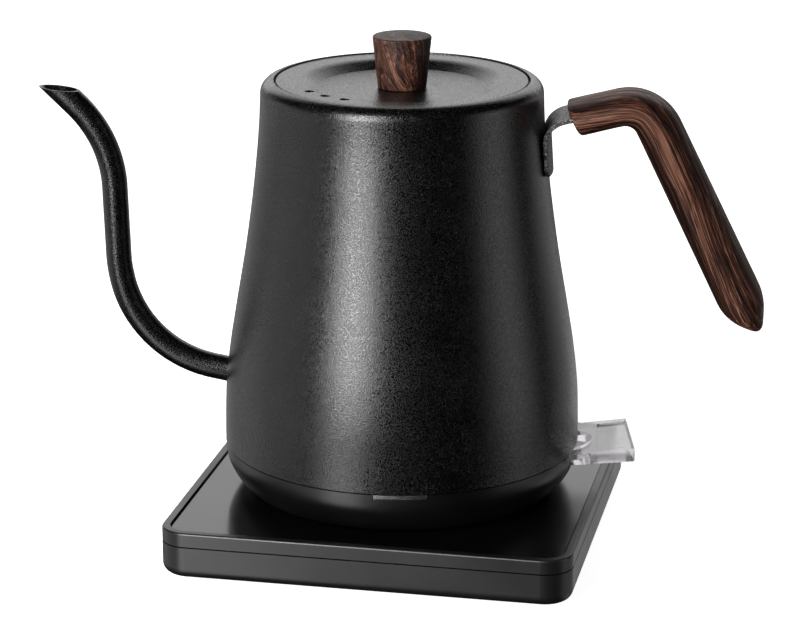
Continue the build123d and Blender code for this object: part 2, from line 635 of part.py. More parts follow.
with BuildPart() as bottom_cup:
    with BuildSketch(Plane.XZ):
        with BuildLine():
            Line((CUP_SOCKET_R, CUP_BOTTOM), CUP_OUTER[0])
            Spline(*CUP_OUTER, tangents=((1, 0), (0, 1)))
            Polyline(
                CUP_OUTER[-1],
                (LIP_R, CUP_LIP_Z),
                (LIP_R, LIP_TOP),
                (LIP_R - LIP_T, LIP_TOP),
                CUP_INNER[0],
            )
            Spline(*CUP_INNER, tangents=((0, -1), (-1, 0)))
            Polyline(
                CUP_INNER[-1],
                (CUP_SOCKET_R + CUP_WALL, CUP_FLOOR),
                (CUP_SOCKET_R + CUP_WALL, CUP_SOCKET_TOP),
                (CUP_SOCKET_R, CUP_SOCKET_TOP),
                (CUP_SOCKET_R, CUP_BOTTOM),
            )
        make_face()
    revolve(axis=Axis.Z)
    # pillars for the three cup screws
    with BuildSketch(Plane.XY.offset(CUP_BOTTOM + 1)):
        with PolarLocations(PILLAR_RING_R, 3, start_angle=60):
            Circle(CUP_PILLAR_R)
    extrude(amount=STUD_BOTTOM - 0.1 - CUP_BOTTOM - 1)
    with BuildSketch(Plane.XY.offset(CUP_BOTTOM)):
        with PolarLocations(PILLAR_RING_R, 3, start_angle=60):
            Circle(SCREW_R + 0.2)
    extrude(amount=STUD_BOTTOM - CUP_BOTTOM, mode=Mode.SUBTRACT)
    with BuildSketch(Plane.XY.offset(CUP_BOTTOM)):
        with PolarLocations(PILLAR_RING_R, 3, start_angle=60):
            Circle(SCREW_HEAD_R + 0.2)
    extrude(amount=COUNTERBORE_TOP - CUP_BOTTOM, mode=Mode.SUBTRACT)
    # two ears that hold the lever's pin
    ear_y = (EAR_INNER_Y + EAR_OUTER_Y) / 2
    with BuildSketch(Plane.XY.offset(CUP_BOTTOM + 1)):
        with Locations((LEVER_PIVOT[0], ear_y), (LEVER_PIVOT[0], -ear_y)):
            Rectangle(9, EAR_OUTER_Y - EAR_INNER_Y)
    extrude(amount=EAR_TOP - CUP_BOTTOM - 1)
    with BuildSketch(Plane.XZ):
        with Locations(LEVER_PIVOT):
            Circle(LEVER_PIN_R)
    extrude(amount=EAR_OUTER_Y + 1, both=True, mode=Mode.SUBTRACT)
    # two saddles that hold the indicator lamp
    with BuildSketch(Plane.XY.offset(CUP_FLOOR - 0.5)):
        with Locations((LAMP_X, 4), (LAMP_X, -4)):
            Rectangle(7, 1.6)
    extrude(amount=LAMP_Z - CUP_FLOOR + 0.5)
    with BuildSketch(Plane.XZ):
        with Locations((LAMP_X, LAMP_Z)):
            Circle(LAMP_R + 0.05)
    extrude(amount=6, both=True, mode=Mode.SUBTRACT)
    # window in the wall and lip for the switch lever
    with BuildSketch(Plane.YZ.offset(62)):
        with Locations((0, (SLOT_BOTTOM + SEAM_Z + 0.4) / 2)):
            Rectangle(2 * SLOT_HALF_W, SEAM_Z + 0.4 - SLOT_BOTTOM)
    extrude(amount=12, mode=Mode.SUBTRACT)
    # shallow notch in the rim where the bright strip shows
    notch_span = NOTCH_ANGLES[1] - NOTCH_ANGLES[0]
    with BuildSketch(Plane.XY.offset(CUP_LIP_Z)):
        with BuildLine():
            notch_outer = CenterArc((0, 0), CUP_R + 1, NOTCH_ANGLES[0], notch_span)
            notch_inner = CenterArc((0, 0), LIP_R + 0.4, NOTCH_ANGLES[0], notch_span)
            Line(notch_outer @ 0, notch_inner @ 0)
            Line(notch_outer @ 1, notch_inner @ 1)
        make_face()
    extrude(amount=-NOTCH_H, mode=Mode.SUBTRACT)
bottom_cup.part.label = "bottom_cup"
export_step(bottom_cup.part, "parts/bottom_cup.step")

with BuildPart() as seam_strip:
    with BuildSketch(Plane.XY.offset(CUP_LIP_Z - 0.05)):
        with BuildLine():
            strip_span = notch_span - 0.4
            strip_outer = CenterArc((0, 0), CUP_R - 0.35, NOTCH_ANGLES[0] + 0.2, strip_span)
            strip_inner = CenterArc((0, 0), LIP_R + 0.45, NOTCH_ANGLES[0] + 0.2, strip_span)
            Line(strip_outer @ 0, strip_inner @ 0)
            Line(strip_outer @ 1, strip_inner @ 1)
        make_face()
    extrude(amount=0.1 - NOTCH_H)
seam_strip.part.label = "seam_strip"
export_step(seam_strip.part, "parts/seam_strip.step")

with BuildPart() as cup_seal:
    with BuildSketch(Plane.XY.offset(SEAM_Z + 0.45)):
        Circle(SEAM_R - WALL - 0.1)
        Circle(LIP_R + 0.05, mode=Mode.SUBTRACT)
    extrude(amount=2.5)
cup_seal.part.label = "cup_seal"
export_step(cup_seal.part, "parts/cup_seal.step")

CUP_SCREW_HEAD_Z = COUNTERBORE_TOP - SCREW_HEAD_H - 0.1
with BuildPart() as cup_screws:
    with BuildSketch(Plane.XY.offset(CUP_SCREW_HEAD_Z)):
        with PolarLocations(PILLAR_RING_R, 3, start_angle=60):
            Circle(SCREW_HEAD_R)
    extrude(amount=SCREW_HEAD_H)
    with BuildSketch(Plane.XY.offset(CUP_SCREW_HEAD_Z)):
        with PolarLocations(PILLAR_RING_R, 3, start_angle=60):
            Circle(PILOT_R)
    extrude(amount=STUD_BOTTOM + STUD_HOLE_DEPTH - 0.5 - CUP_SCREW_HEAD_Z)
    with BuildSketch(Plane.XY.offset(CUP_SCREW_HEAD_Z)):
        with PolarLocations(PILLAR_RING_R, 3, start_angle=60):
            Rectangle(RECESS_L, RECESS_W)
            Rectangle(RECESS_W, RECESS_L)
    extrude(amount=RECESS_DEPTH, mode=Mode.SUBTRACT)
cup_screws.part.label = "cup_screws"
export_step(cup_screws.part, "parts/cup_screws.step")

with BuildPart() as indicator_lamp:
    with BuildSketch(Plane.XZ):
        with Locations((LAMP_X, LAMP_Z)):
            Circle(LAMP_R)
    extrude(amount=LAMP_HALF_LENGTH, both=True)
    fillet(indicator_lamp.edges(), 1.6)
indicator_lamp.part.label = "indicator_lamp"
export_step(indicator_lamp.part, "parts/indicator_lamp.step")


# ---------------------------------------------------------------- switch lever and trip rocker
LEVER_TIP_TOP = 40.8
LEVER_TIP_BOTTOM = 35.6
LEVER_BEND_X = 58
LEVER_BEND_TOP = 36.2
LEVER_BOTTOM = 32.7
TONGUE_TOP = 34.4
TONGUE_X = 38.5
TONGUE_HALF_W = 4
PADDLE_X = 57.5
LEVER_HOLE_X = 65
LEVER_HOLE_R = 11
NECK_HALF_W = EAR_INNER_Y - 0.5
BARREL_R = 3.2
THUMB_POCKET_X = 83.4
THUMB_POCKET_SIZE = (11, 31)
lever_slope = (LEVER_TIP_TOP - LEVER_BEND_TOP) / (LEVER_NEAR_X - LEVER_BEND_X)
thumb_pocket_z = LEVER_BEND_TOP + (THUMB_POCKET_X - LEVER_BEND_X) * lever_slope
thumb_pocket_plane = Plane(
    origin=(THUMB_POCKET_X, 0, thumb_pocket_z), x_dir=(1, 0, lever_slope), z_dir=(-lever_slope, 0, 1)
)

with BuildPart() as switch_lever:
    # side view of the paddle, thinner towards the pivot
    with BuildSketch(Plane.XZ):
        with BuildLine():
            Polyline(
                (LEVER_NEAR_X, LEVER_TIP_TOP),
                (LEVER_BEND_X, LEVER_BEND_TOP),
                (47, TONGUE_TOP),
                (TONGUE_X, TONGUE_TOP),
                (TONGUE_X, LEVER_BOTTOM),
                (LEVER_BEND_X, LEVER_BOTTOM),
                (68, 33.3),
                (LEVER_NEAR_X, LEVER_TIP_BOTTOM),
                close=True,
            )
        make_face()
    extrude(amount=LEVER_W / 2, both=True)
    # plan view: wide paddle with a slightly slanting outer edge, narrow neck, narrow tongue
    with BuildSketch(Plane.XY.offset(25)):
        with BuildLine():
            Polyline(
                (TONGUE_X - 1, -TONGUE_HALF_W),
                (46, -TONGUE_HALF_W),
                (46, -NECK_HALF_W),
                (PADDLE_X, -NECK_HALF_W),
                (PADDLE_X, -LEVER_W / 2),
                (LEVER_NEAR_X, -LEVER_W / 2),
                (LEVER_FAR_X, LEVER_W / 2),
                (PADDLE_X, LEVER_W / 2),
                (PADDLE_X, NECK_HALF_W),
                (46, NECK_HALF_W),
                (46, TONGUE_HALF_W),
                (TONGUE_X - 1, TONGUE_HALF_W),
                close=True,
            )
        make_face()
    extrude(amount=25, mode=Mode.INTERSECT)
    # pivot barrel
    with BuildSketch(Plane.XZ):
        with Locations(LEVER_PIVOT):
            Circle(BARREL_R)
    extrude(amount=NECK_HALF_W, both=True)
    fillet(switch_lever.faces().sort_by(Axis.X)[-1].edges(), 0.5)
    with BuildSketch(Plane.XZ):
        with Locations(LEVER_PIVOT):
            Circle(LEVER_PIN_R + RUNNING_GAP)
    extrude(amount=NECK_HALF_W + 1, both=True, mode=Mode.SUBTRACT)
    # round window through the paddle
    with BuildSketch(Plane.XY.offset(25)):
        with Locations((LEVER_HOLE_X, 0)):
            Circle(LEVER_HOLE_R)
    extrude(amount=25, mode=Mode.SUBTRACT)
    # shallow thumb pocket in the top face
    with BuildSketch(thumb_pocket_plane):
        RectangleRounded(*THUMB_POCKET_SIZE, 1)
    extrude(amount=-0.7, mode=Mode.SUBTRACT)
    # small moulding notch in the near edge
    with BuildSketch(Plane.XY.offset(37.6)):
        with Locations((84.2, -LEVER_W / 2)):
            Rectangle(2.3, 1.2)
    extrude(amount=5, mode=Mode.SUBTRACT)
switch_lever.part.label = "switch_lever"
export_step(switch_lever.part, "parts/switch_lever.step")

with BuildPart() as lever_pin:
    with BuildSketch(Plane.XZ):
        with Locations(LEVER_PIVOT):
            Circle(LEVER_PIN_R)
    extrude(amount=EAR_OUTER_Y, both=True)
    chamfer(lever_pin.edges(), 0.3)
lever_pin.part.label = "lever_pin"
export_step(lever_pin.part, "parts/lever_pin.step")

ROCKER_TOP = 37.2
ROCKER_BOTTOM = 35.3
ROCKER_TOE_BOTTOM = 35
with BuildPart() as trip_rocker:
    with BuildSketch(Plane.XZ):
        with Locations(ROCKER_PIVOT):
            Circle(2.2)
        with BuildLine():
            Polyline(
                (28, ROCKER_BOTTOM),
                (37.5, ROCKER_BOTTOM),
                (39, ROCKER_TOE_BOTTOM),
                (41, ROCKER_TOE_BOTTOM),
                (41, ROCKER_TOP),
                (28, ROCKER_TOP),
                close=True,
            )
        make_face()
    extrude(amount=ROCKER_HALF_W, both=True)
    with BuildSketch(Plane.XZ):
        with Locations(ROCKER_PIVOT):
            Circle(ROCKER_PIN_R + RUNNING_GAP)
    extrude(amount=ROCKER_HALF_W + 1, both=True, mode=Mode.SUBTRACT)
trip_rocker.part.label = "trip_rocker"
export_step(trip_rocker.part, "parts/trip_rocker.step")

with BuildPart() as rocker_pin:
    with BuildSketch(Plane.XZ):
        with Locations(ROCKER_PIVOT):
            Circle(ROCKER_PIN_R)
    extrude(amount=ROCKER_HALF_W + 0.3 + EAR_T, both=True)
rocker_pin.part.label = "rocker_pin"
export_step(rocker_pin.part, "parts/rocker_pin.step")


# ---------------------------------------------------------------- handle
PAD_BOTTOM = 148
PAD_TOP = 164
STRAP_START = (57.9, 160)
STRAP_CORNER = (57.3, 168.7)
NECK_SLOPE = 0.24
TANG_START = (66.5, 170.9)
TANG_END = (84, 170.9 + (84 - 66.5) * NECK_SLOPE)
GRIP_SCREW_X = (73, 80)
GRIP_ROUNDING = 5.5
tang_z = (-NECK_SLOPE, 0, 1)
tang_middle = ((TANG_START[0] + TANG_END[0]) / 2, 0, (TANG_START[1] + TANG_END[1]) / 2)
tang_plane = Plane(origin=tang_middle, x_dir=(1, 0, NECK_SLOPE), z_dir=tang_z)
tang_length = (Vector(*TANG_END) - Vector(*TANG_START)).length
tang_stretch = tang_length / (TANG_END[0] - TANG_START[0])
screw_offsets = [((x - tang_middle[0]) * tang_stretch, 0) for x in GRIP_SCREW_X]
COUNTERBORE_DEPTH = 6.5
GRIP_SCREW_HEAD_Z = -8
GRIP_HOLE_BOTTOM = -12
GRIP_HOLE_DEPTH = 17
PAD_CHAMFER = 3

with BuildPart() as handle_bracket:
    # pad that hugs the vessel wall
    with BuildSketch(Plane.XZ):
        with BuildLine():
            pad_inner = wall_line(-0.05)
            pad_outer = wall_line(-0.05 - STRAP_T)
            Line(pad_inner @ 0, pad_outer @ 0)
            Line(pad_inner @ 1, pad_outer @ 1)
        make_face()
    revolve(axis=Axis.Z)
    with BuildSketch(Plane.YZ.offset(40)):
        with BuildLine():
            Polyline(
                (-BRACKET_W / 2, PAD_TOP),
                (-BRACKET_W / 2, PAD_BOTTOM + PAD_CHAMFER),
                (-BRACKET_W / 2 + PAD_CHAMFER, PAD_BOTTOM),
                (BRACKET_W / 2 - PAD_CHAMFER, PAD_BOTTOM),
                (BRACKET_W / 2, PAD_BOTTOM + PAD_CHAMFER),
                (BRACKET_W / 2, PAD_TOP),
                close=True,
            )
        make_face()
    extrude(amount=30, mode=Mode.INTERSECT)
    # strap that bends away from the wall and becomes the neck
    with BuildSketch(Plane.XZ):
        with BuildLine():
            FilletPolyline(STRAP_START, STRAP_CORNER, TANG_START, radius=6.5)
        trace(line_width=STRAP_T)
    extrude(amount=BRACKET_W / 2, both=True)
    # narrow tang inside the grip
    with BuildSketch(tang_plane.offset(-STRAP_T / 2)):
        Rectangle(tang_length + 1, TANG_W)
    extrude(amount=STRAP_T)
    with BuildSketch(tang_plane.offset(-STRAP_T)):
        with Locations(*screw_offsets):
            Circle(SCREW_R + 0.2)
    extrude(amount=2 * STRAP_T, mode=Mode.SUBTRACT)
handle_bracket.part.label = "handle_bracket"
export_step(handle_bracket.part, "parts/handle_bracket.step")

# corners of the grip's side view, from the front end over the top, round the tip and back, and the
# radius each inner corner is rounded to
GRIP_OUTLINE = (
    (65, 176.6),
    (100.2, 184.2),
    (142.4, 98.8),
    (142, 84.4),
    (127, 88.4),
    (88.8, 167.8),
    (70.3, 163),
)
GRIP_BENDS = (22, 20, 5, 15, 5)
with BuildPart() as handle_grip:
    with BuildSketch(Plane.XZ):
        with BuildLine():
            FilletPolyline(*GRIP_OUTLINE, radius=GRIP_BENDS)
            Line(GRIP_OUTLINE[-1], GRIP_OUTLINE[0])
        make_face()
    extrude(amount=GRIP_W / 2, both=True)
    side_faces = handle_grip.faces().sort_by(Axis.Y)
    side_edges = side_faces[0].edges() + side_faces[-1].edges()
    fillet(side_edges.sort_by(Axis.X)[2:], GRIP_ROUNDING)
    # slot for the tang
    with BuildSketch(tang_plane.offset(-STRAP_T / 2 - 0.15)):
        Rectangle(tang_length + 1.6, TANG_W + 0.3)
    extrude(amount=STRAP_T + 0.3, mode=Mode.SUBTRACT)
    # screw holes from below, with their counterbores
    with BuildSketch(tang_plane.offset(GRIP_HOLE_BOTTOM)):
        with Locations(*screw_offsets):
            Circle(SCREW_R)
    extrude(amount=GRIP_HOLE_DEPTH, mode=Mode.SUBTRACT)
    with BuildSketch(tang_plane.offset(GRIP_HOLE_BOTTOM)):
        with Locations(*screw_offsets):
            Circle(SCREW_HEAD_R + 0.2)
    extrude(amount=COUNTERBORE_DEPTH, mode=Mode.SUBTRACT)
handle_grip.part.label = "handle_grip"
export_step(handle_grip.part, "parts/handle_grip.step")

with BuildPart() as grip_screws:
    with BuildSketch(tang_plane.offset(GRIP_SCREW_HEAD_Z)):
        with Locations(*screw_offsets):
            Circle(SCREW_HEAD_R)
    extrude(amount=SCREW_HEAD_H)
    with BuildSketch(tang_plane.offset(GRIP_SCREW_HEAD_Z)):
        with Locations(*screw_offsets):
            Circle(SCREW_R - 0.02)
    extrude(amount=SCREW_LENGTH)
    with BuildSketch(tang_plane.offset(GRIP_SCREW_HEAD_Z)):
        with Locations(*screw_offsets):
            Rectangle(RECESS_L, RECESS_W)
            Rectangle(RECESS_W, RECESS_L)
    extrude(amount=RECESS_DEPTH, mode=Mode.SUBTRACT)
grip_screws.part.label = "grip_screws"
export_step(grip_screws.part, "parts/grip_screws.step")


# ---------------------------------------------------------------- lid
LID_SHEET = 0.9
STEAM_HOLE_R = 2.2
STEAM_HOLE_RING_R = 40.4
STEAM_HOLE_ANGLE = 14.3
STEAM_HOLE_MIDDLE = -130.5
KNOB_SCREW_R = 1.9
KNOB_SCREW_HEAD_R = 3.6
WASHER_R = 6
WASHER_T = 0.8
GASKET_BOTTOM = 173.5
GASKET_H = 3.5
INNER_SHEET = 0.8
DRAIN_RING_R = 30
DRAIN_HOLE_R = 2
FLANGE_INNER_R = 42
flange_top = LID_TOP - LID_SHEET - 0.05
flange_bottom = flange_top - 0.7
DISH_TOP_R = 40.5
DISH_FLOOR_R = 32

with BuildPart() as lid_top:
    with BuildSketch(Plane.XZ):
        with BuildLine():
            Polyline(
                (DISH_TOP_R, LID_TOP),
                (LID_R - 0.5, LID_TOP),
                (LID_R, LID_TOP - 0.5),
                (LID_R, LEDGE_TOP + 0.2),
                (LID_R - LID_SHEET, LEDGE_TOP + 0.2),
                (LID_R - LID_SHEET, LID_TOP - LID_SHEET),
                (DISH_TOP_R, LID_TOP - LID_SHEET),
            )
            Spline(
                (DISH_TOP_R, LID_TOP),
                (DISH_FLOOR_R, LID_FLOOR),
                tangents=((-1, 0), (-1, 0)),
            )
            Spline(
                (DISH_TOP_R, LID_TOP - LID_SHEET),
                (DISH_FLOOR_R, LID_FLOOR - LID_SHEET),
                tangents=((-1, 0), (-1, 0)),
            )
            Polyline(
                (DISH_FLOOR_R, LID_FLOOR),
                (KNOB_SCREW_R + 0.2, LID_FLOOR),
                (KNOB_SCREW_R + 0.2, LID_FLOOR - LID_SHEET),
                (DISH_FLOOR_R, LID_FLOOR - LID_SHEET),
            )
        make_face()
    revolve(axis=Axis.Z)
    # three steam holes in a short row
    with BuildSketch(Plane.XY.offset(LID_TOP + 1)):
        with PolarLocations(
            STEAM_HOLE_RING_R,
            3,
            start_angle=STEAM_HOLE_MIDDLE - STEAM_HOLE_ANGLE,
            angular_range=3 * STEAM_HOLE_ANGLE,
        ):
            Circle(STEAM_HOLE_R)
    extrude(amount=-4, mode=Mode.SUBTRACT)
lid_top.part.label = "lid_top"
export_step(lid_top.part, "parts/lid_top.step")

with BuildPart() as lid_inner_cap:
    with BuildSketch(Plane.XZ):
        with BuildLine():
            Polyline(
                (LID_R - LID_SHEET - 0.1, flange_top),
                (FLANGE_INNER_R, flange_top),
                (FLANGE_INNER_R, flange_bottom),
                (SKIRT_R - INNER_SHEET, flange_bottom),
                (SKIRT_R - INNER_SHEET, SKIRT_BOTTOM + INNER_SHEET),
                (0, SKIRT_BOTTOM + INNER_SHEET),
                (0, SKIRT_BOTTOM),
                (SKIRT_R, SKIRT_BOTTOM),
                (SKIRT_R, flange_bottom),
                (LID_R - LID_SHEET - 0.1, flange_bottom),
                close=True,
            )
        make_face()
    revolve(axis=Axis.Z)
    with BuildSketch(Plane.XY.offset(SKIRT_BOTTOM)):
        with PolarLocations(DRAIN_RING_R, 6):
            Circle(DRAIN_HOLE_R)
    extrude(amount=1, mode=Mode.SUBTRACT)
lid_inner_cap.part.label = "lid_inner_cap"
export_step(lid_inner_cap.part, "parts/lid_inner_cap.step")

with BuildPart() as lid_gasket:
    with BuildSketch(Plane.XY.offset(GASKET_BOTTOM)):
        Circle(COLLAR_R - 0.3)
        Circle(SKIRT_R + 0.3, mode=Mode.SUBTRACT)
    extrude(amount=GASKET_H)
lid_gasket.part.label = "lid_gasket"
export_step(lid_gasket.part, "parts/lid_gasket.step")

KNOB_BOTTOM = LID_FLOOR + 0.03
KNOB_HOLE_DEPTH = 12
with BuildPart() as lid_knob:
    with BuildSketch(Plane.XZ):
        with BuildLine():
            Polyline(
                (0, KNOB_BOTTOM),
                (KNOB_R_LOW, KNOB_BOTTOM),
                (KNOB_R_TOP, KNOB_TOP),
                (0, KNOB_TOP),
                close=True,
            )
        make_face()
    revolve(axis=Axis.Z)
    fillet(lid_knob.edges().group_by(Axis.Z)[-1], 0.8)
    with BuildSketch(Plane.XY.offset(KNOB_BOTTOM)):
        Circle(KNOB_SCREW_R)
    extrude(amount=KNOB_HOLE_DEPTH, mode=Mode.SUBTRACT)
lid_knob.part.label = "lid_knob"
export_step(lid_knob.part, "parts/lid_knob.step")

WASHER_TOP = LID_FLOOR - LID_SHEET - 0.02
with BuildPart() as knob_washer:
    with BuildSketch(Plane.XY.offset(WASHER_TOP)):
        Circle(WASHER_R)
        Circle(KNOB_SCREW_R + 0.2, mode=Mode.SUBTRACT)
    extrude(amount=-WASHER_T)
knob_washer.part.label = "knob_washer"
export_step(knob_washer.part, "parts/knob_washer.step")

with BuildPart() as knob_screw:
    with BuildSketch(Plane.XY.offset(WASHER_TOP - WASHER_T - 0.02)):
        Circle(KNOB_SCREW_HEAD_R)
    extrude(amount=-SCREW_HEAD_H)
    fillet(knob_screw.edges().group_by(Axis.Z)[0], 0.8)
    with BuildSketch(Plane.XY.offset(WASHER_TOP - 1.5)):
        Circle(KNOB_SCREW_R - 0.02)
    extrude(amount=SCREW_LENGTH)
knob_screw.part.label = "knob_screw"
export_step(knob_screw.part, "parts/knob_screw.step")
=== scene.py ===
import json
import math

import bmesh
import bpy
import numpy as np
from mathutils import Matrix, Vector


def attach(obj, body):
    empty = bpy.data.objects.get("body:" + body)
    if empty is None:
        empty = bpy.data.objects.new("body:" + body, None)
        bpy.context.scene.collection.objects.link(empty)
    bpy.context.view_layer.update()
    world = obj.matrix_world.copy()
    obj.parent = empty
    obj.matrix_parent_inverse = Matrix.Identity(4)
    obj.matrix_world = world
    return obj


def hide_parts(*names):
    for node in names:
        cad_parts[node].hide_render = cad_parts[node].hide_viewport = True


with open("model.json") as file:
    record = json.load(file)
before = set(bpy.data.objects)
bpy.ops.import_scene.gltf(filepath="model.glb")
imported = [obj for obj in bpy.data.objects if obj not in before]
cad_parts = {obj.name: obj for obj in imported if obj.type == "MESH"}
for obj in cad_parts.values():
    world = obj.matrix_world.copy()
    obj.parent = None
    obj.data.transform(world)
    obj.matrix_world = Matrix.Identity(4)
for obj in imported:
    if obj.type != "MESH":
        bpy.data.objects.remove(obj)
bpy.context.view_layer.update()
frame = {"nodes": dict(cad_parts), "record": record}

MM = 0.001
nodes = frame["nodes"]


# ---------------------------------------------------------------- camera, floor and light
AIM = Vector((-0.99, -0.07, 86.93)) * MM
CAMERA_AZIMUTH = math.radians(4.0)
CAMERA_ELEVATION = math.radians(17.025)
CAMERA_DISTANCE = 1158.5 * MM
CAMERA_LENS = 131.73
CAMERA_SENSOR = 36
CAMERA_NEAR = 0.01

WORLD_GLOW = 0.004
LAMP_TARGET = Vector((0, 0, 0.1))
# degrees round from the camera's own azimuth, degrees up, distance, width and height in metres, radiance
LAMPS = {
    "key_strip": (-33, 18.5, 1.5, 0.48, 1.3, 22),
    "key_low": (-38, -28, 0.55, 0.17, 0.3, 3.8),
    "left_panel": (-98, -6, 1.8, 2.5, 1.5, 0.75),
    "left_back_panel": (-152, -4, 2.0, 0.9, 1.5, 0.45),
    "right_panel": (77, 2, 1.8, 0.85, 1.5, 1.3),
    "right_back_panel": (138, -6, 2.0, 1.5, 1.5, 0.42),
    "low_right_panel": (105, -36, 1.6, 0.9, 0.6, 0.8),
    "low_back_panel": (162, -24, 2.0, 0.9, 0.7, 0.4),
    "back_panel": (180, 24, 2.2, 2.6, 1.5, 1.45),
}

# the floor's sizes are in metres
FLOOR_R = 3.0
FLOOR_BEND_R = 1.0
FLOOR_WALL_TOP = 4.0
FLOOR_GLOW = 0.92


def direction(azimuth, elevation):
    """A unit vector away from the object: azimuth 0 is the front, and it grows towards the handle."""
    flat = math.cos(elevation)
    return Vector((math.sin(azimuth) * flat, -math.cos(azimuth) * flat, math.sin(elevation)))


def aim(obj, place, target):
    """Puts a camera or light at place, looking at target."""
    obj.location = place
    obj.rotation_euler = (target - place).to_track_quat("-Z", "Y").to_euler()


def add_camera():
    camera = bpy.data.objects.new("camera", bpy.data.cameras.new("camera"))
    bpy.context.scene.collection.objects.link(camera)
    camera.data.lens = CAMERA_LENS
    camera.data.sensor_width = CAMERA_SENSOR
    camera.data.clip_start = CAMERA_NEAR
    aim(camera, AIM + direction(CAMERA_AZIMUTH, CAMERA_ELEVATION) * CAMERA_DISTANCE, AIM)
    bpy.context.scene.camera = camera


def add_light(name, azimuth, elevation, distance, width, height, radiance):
    """A soft rectangular lamp that the camera doesn't see."""
    data = bpy.data.lights.new(name, "AREA")
    data.shape = "RECTANGLE"
    data.size = width
    data.size_y = height
    data.energy = radiance * math.pi * width * height
    lamp = bpy.data.objects.new(name, data)
    bpy.context.scene.collection.objects.link(lamp)
    lamp.visible_camera = False
    away = direction(CAMERA_AZIMUTH + math.radians(azimuth), math.radians(elevation))
    aim(lamp, LAMP_TARGET + away * distance, LAMP_TARGET)


def add_studio():
    """A dim white world and the lamps round the object."""
    scene = bpy.context.scene
    scene.view_settings.view_transform = "Standard"
    world = bpy.data.worlds.new("studio")
    world.use_nodes = True
    background = world.node_tree.nodes["Background"]
    background.inputs["Color"].default_value = (1, 1, 1, 1)
    background.inputs["Strength"].default_value = WORLD_GLOW
    scene.world = world
    for name, settings in LAMPS.items():
        add_light(name, *settings)


def add_floor():
    """A white floor that rises into a wall all round; only the camera sees its glow."""
    bend_steps, steps = 12, 64
    line = [(0.0, 0.0), (FLOOR_R, 0.0)]
    for k in range(1, bend_steps + 1):
        angle = math.radians(90 * k / bend_steps)
        line.append((FLOOR_R + FLOOR_BEND_R * math.sin(angle), FLOOR_BEND_R * (1 - math.cos(angle))))
    line.append((FLOOR_R + FLOOR_BEND_R, FLOOR_WALL_TOP))
    verts = [
        (r * math.cos(2 * math.pi * k / steps), r * math.sin(2 * math.pi * k / steps), z)
        for r, z in line
        for k in range(steps)
    ]
    mesh = bpy.data.meshes.new("floor")
    mesh.from_pydata(verts, [], ring_faces(len(line), steps))
    mesh.shade_smooth()
    floor = bpy.data.objects.new("floor", mesh)
    bpy.context.scene.collection.objects.link(floor)
    material = new_material("floor_white", grey(0.9), 0.9)
    shader = material.node_tree.nodes["Principled BSDF"]
    shader.inputs["Emission Color"].default_value = (1, 1, 1, 1)
    shader.inputs["Emission Strength"].default_value = FLOOR_GLOW
    mesh.materials.append(material)
    floor.visible_glossy = False
    floor.visible_diffuse = False
    floor.visible_shadow = False


# ---------------------------------------------------------------- materials
# noise scales are features per metre and bump depths are metres
def grey(value):
    return (value, value, value)


def new_material(name, color, roughness, metallic=0.0, **sockets):
    material = bpy.data.materials.new(name)
    material.use_nodes = True
    shader = material.node_tree.nodes["Principled BSDF"]
    shader.inputs["Base Color"].default_value = (*color, 1)
    shader.inputs["Roughness"].default_value = roughness
    shader.inputs["Metallic"].default_value = metallic
    for socket, value in sockets.items():
        shader.inputs[socket.replace("_", " ")].default_value = value
    return material


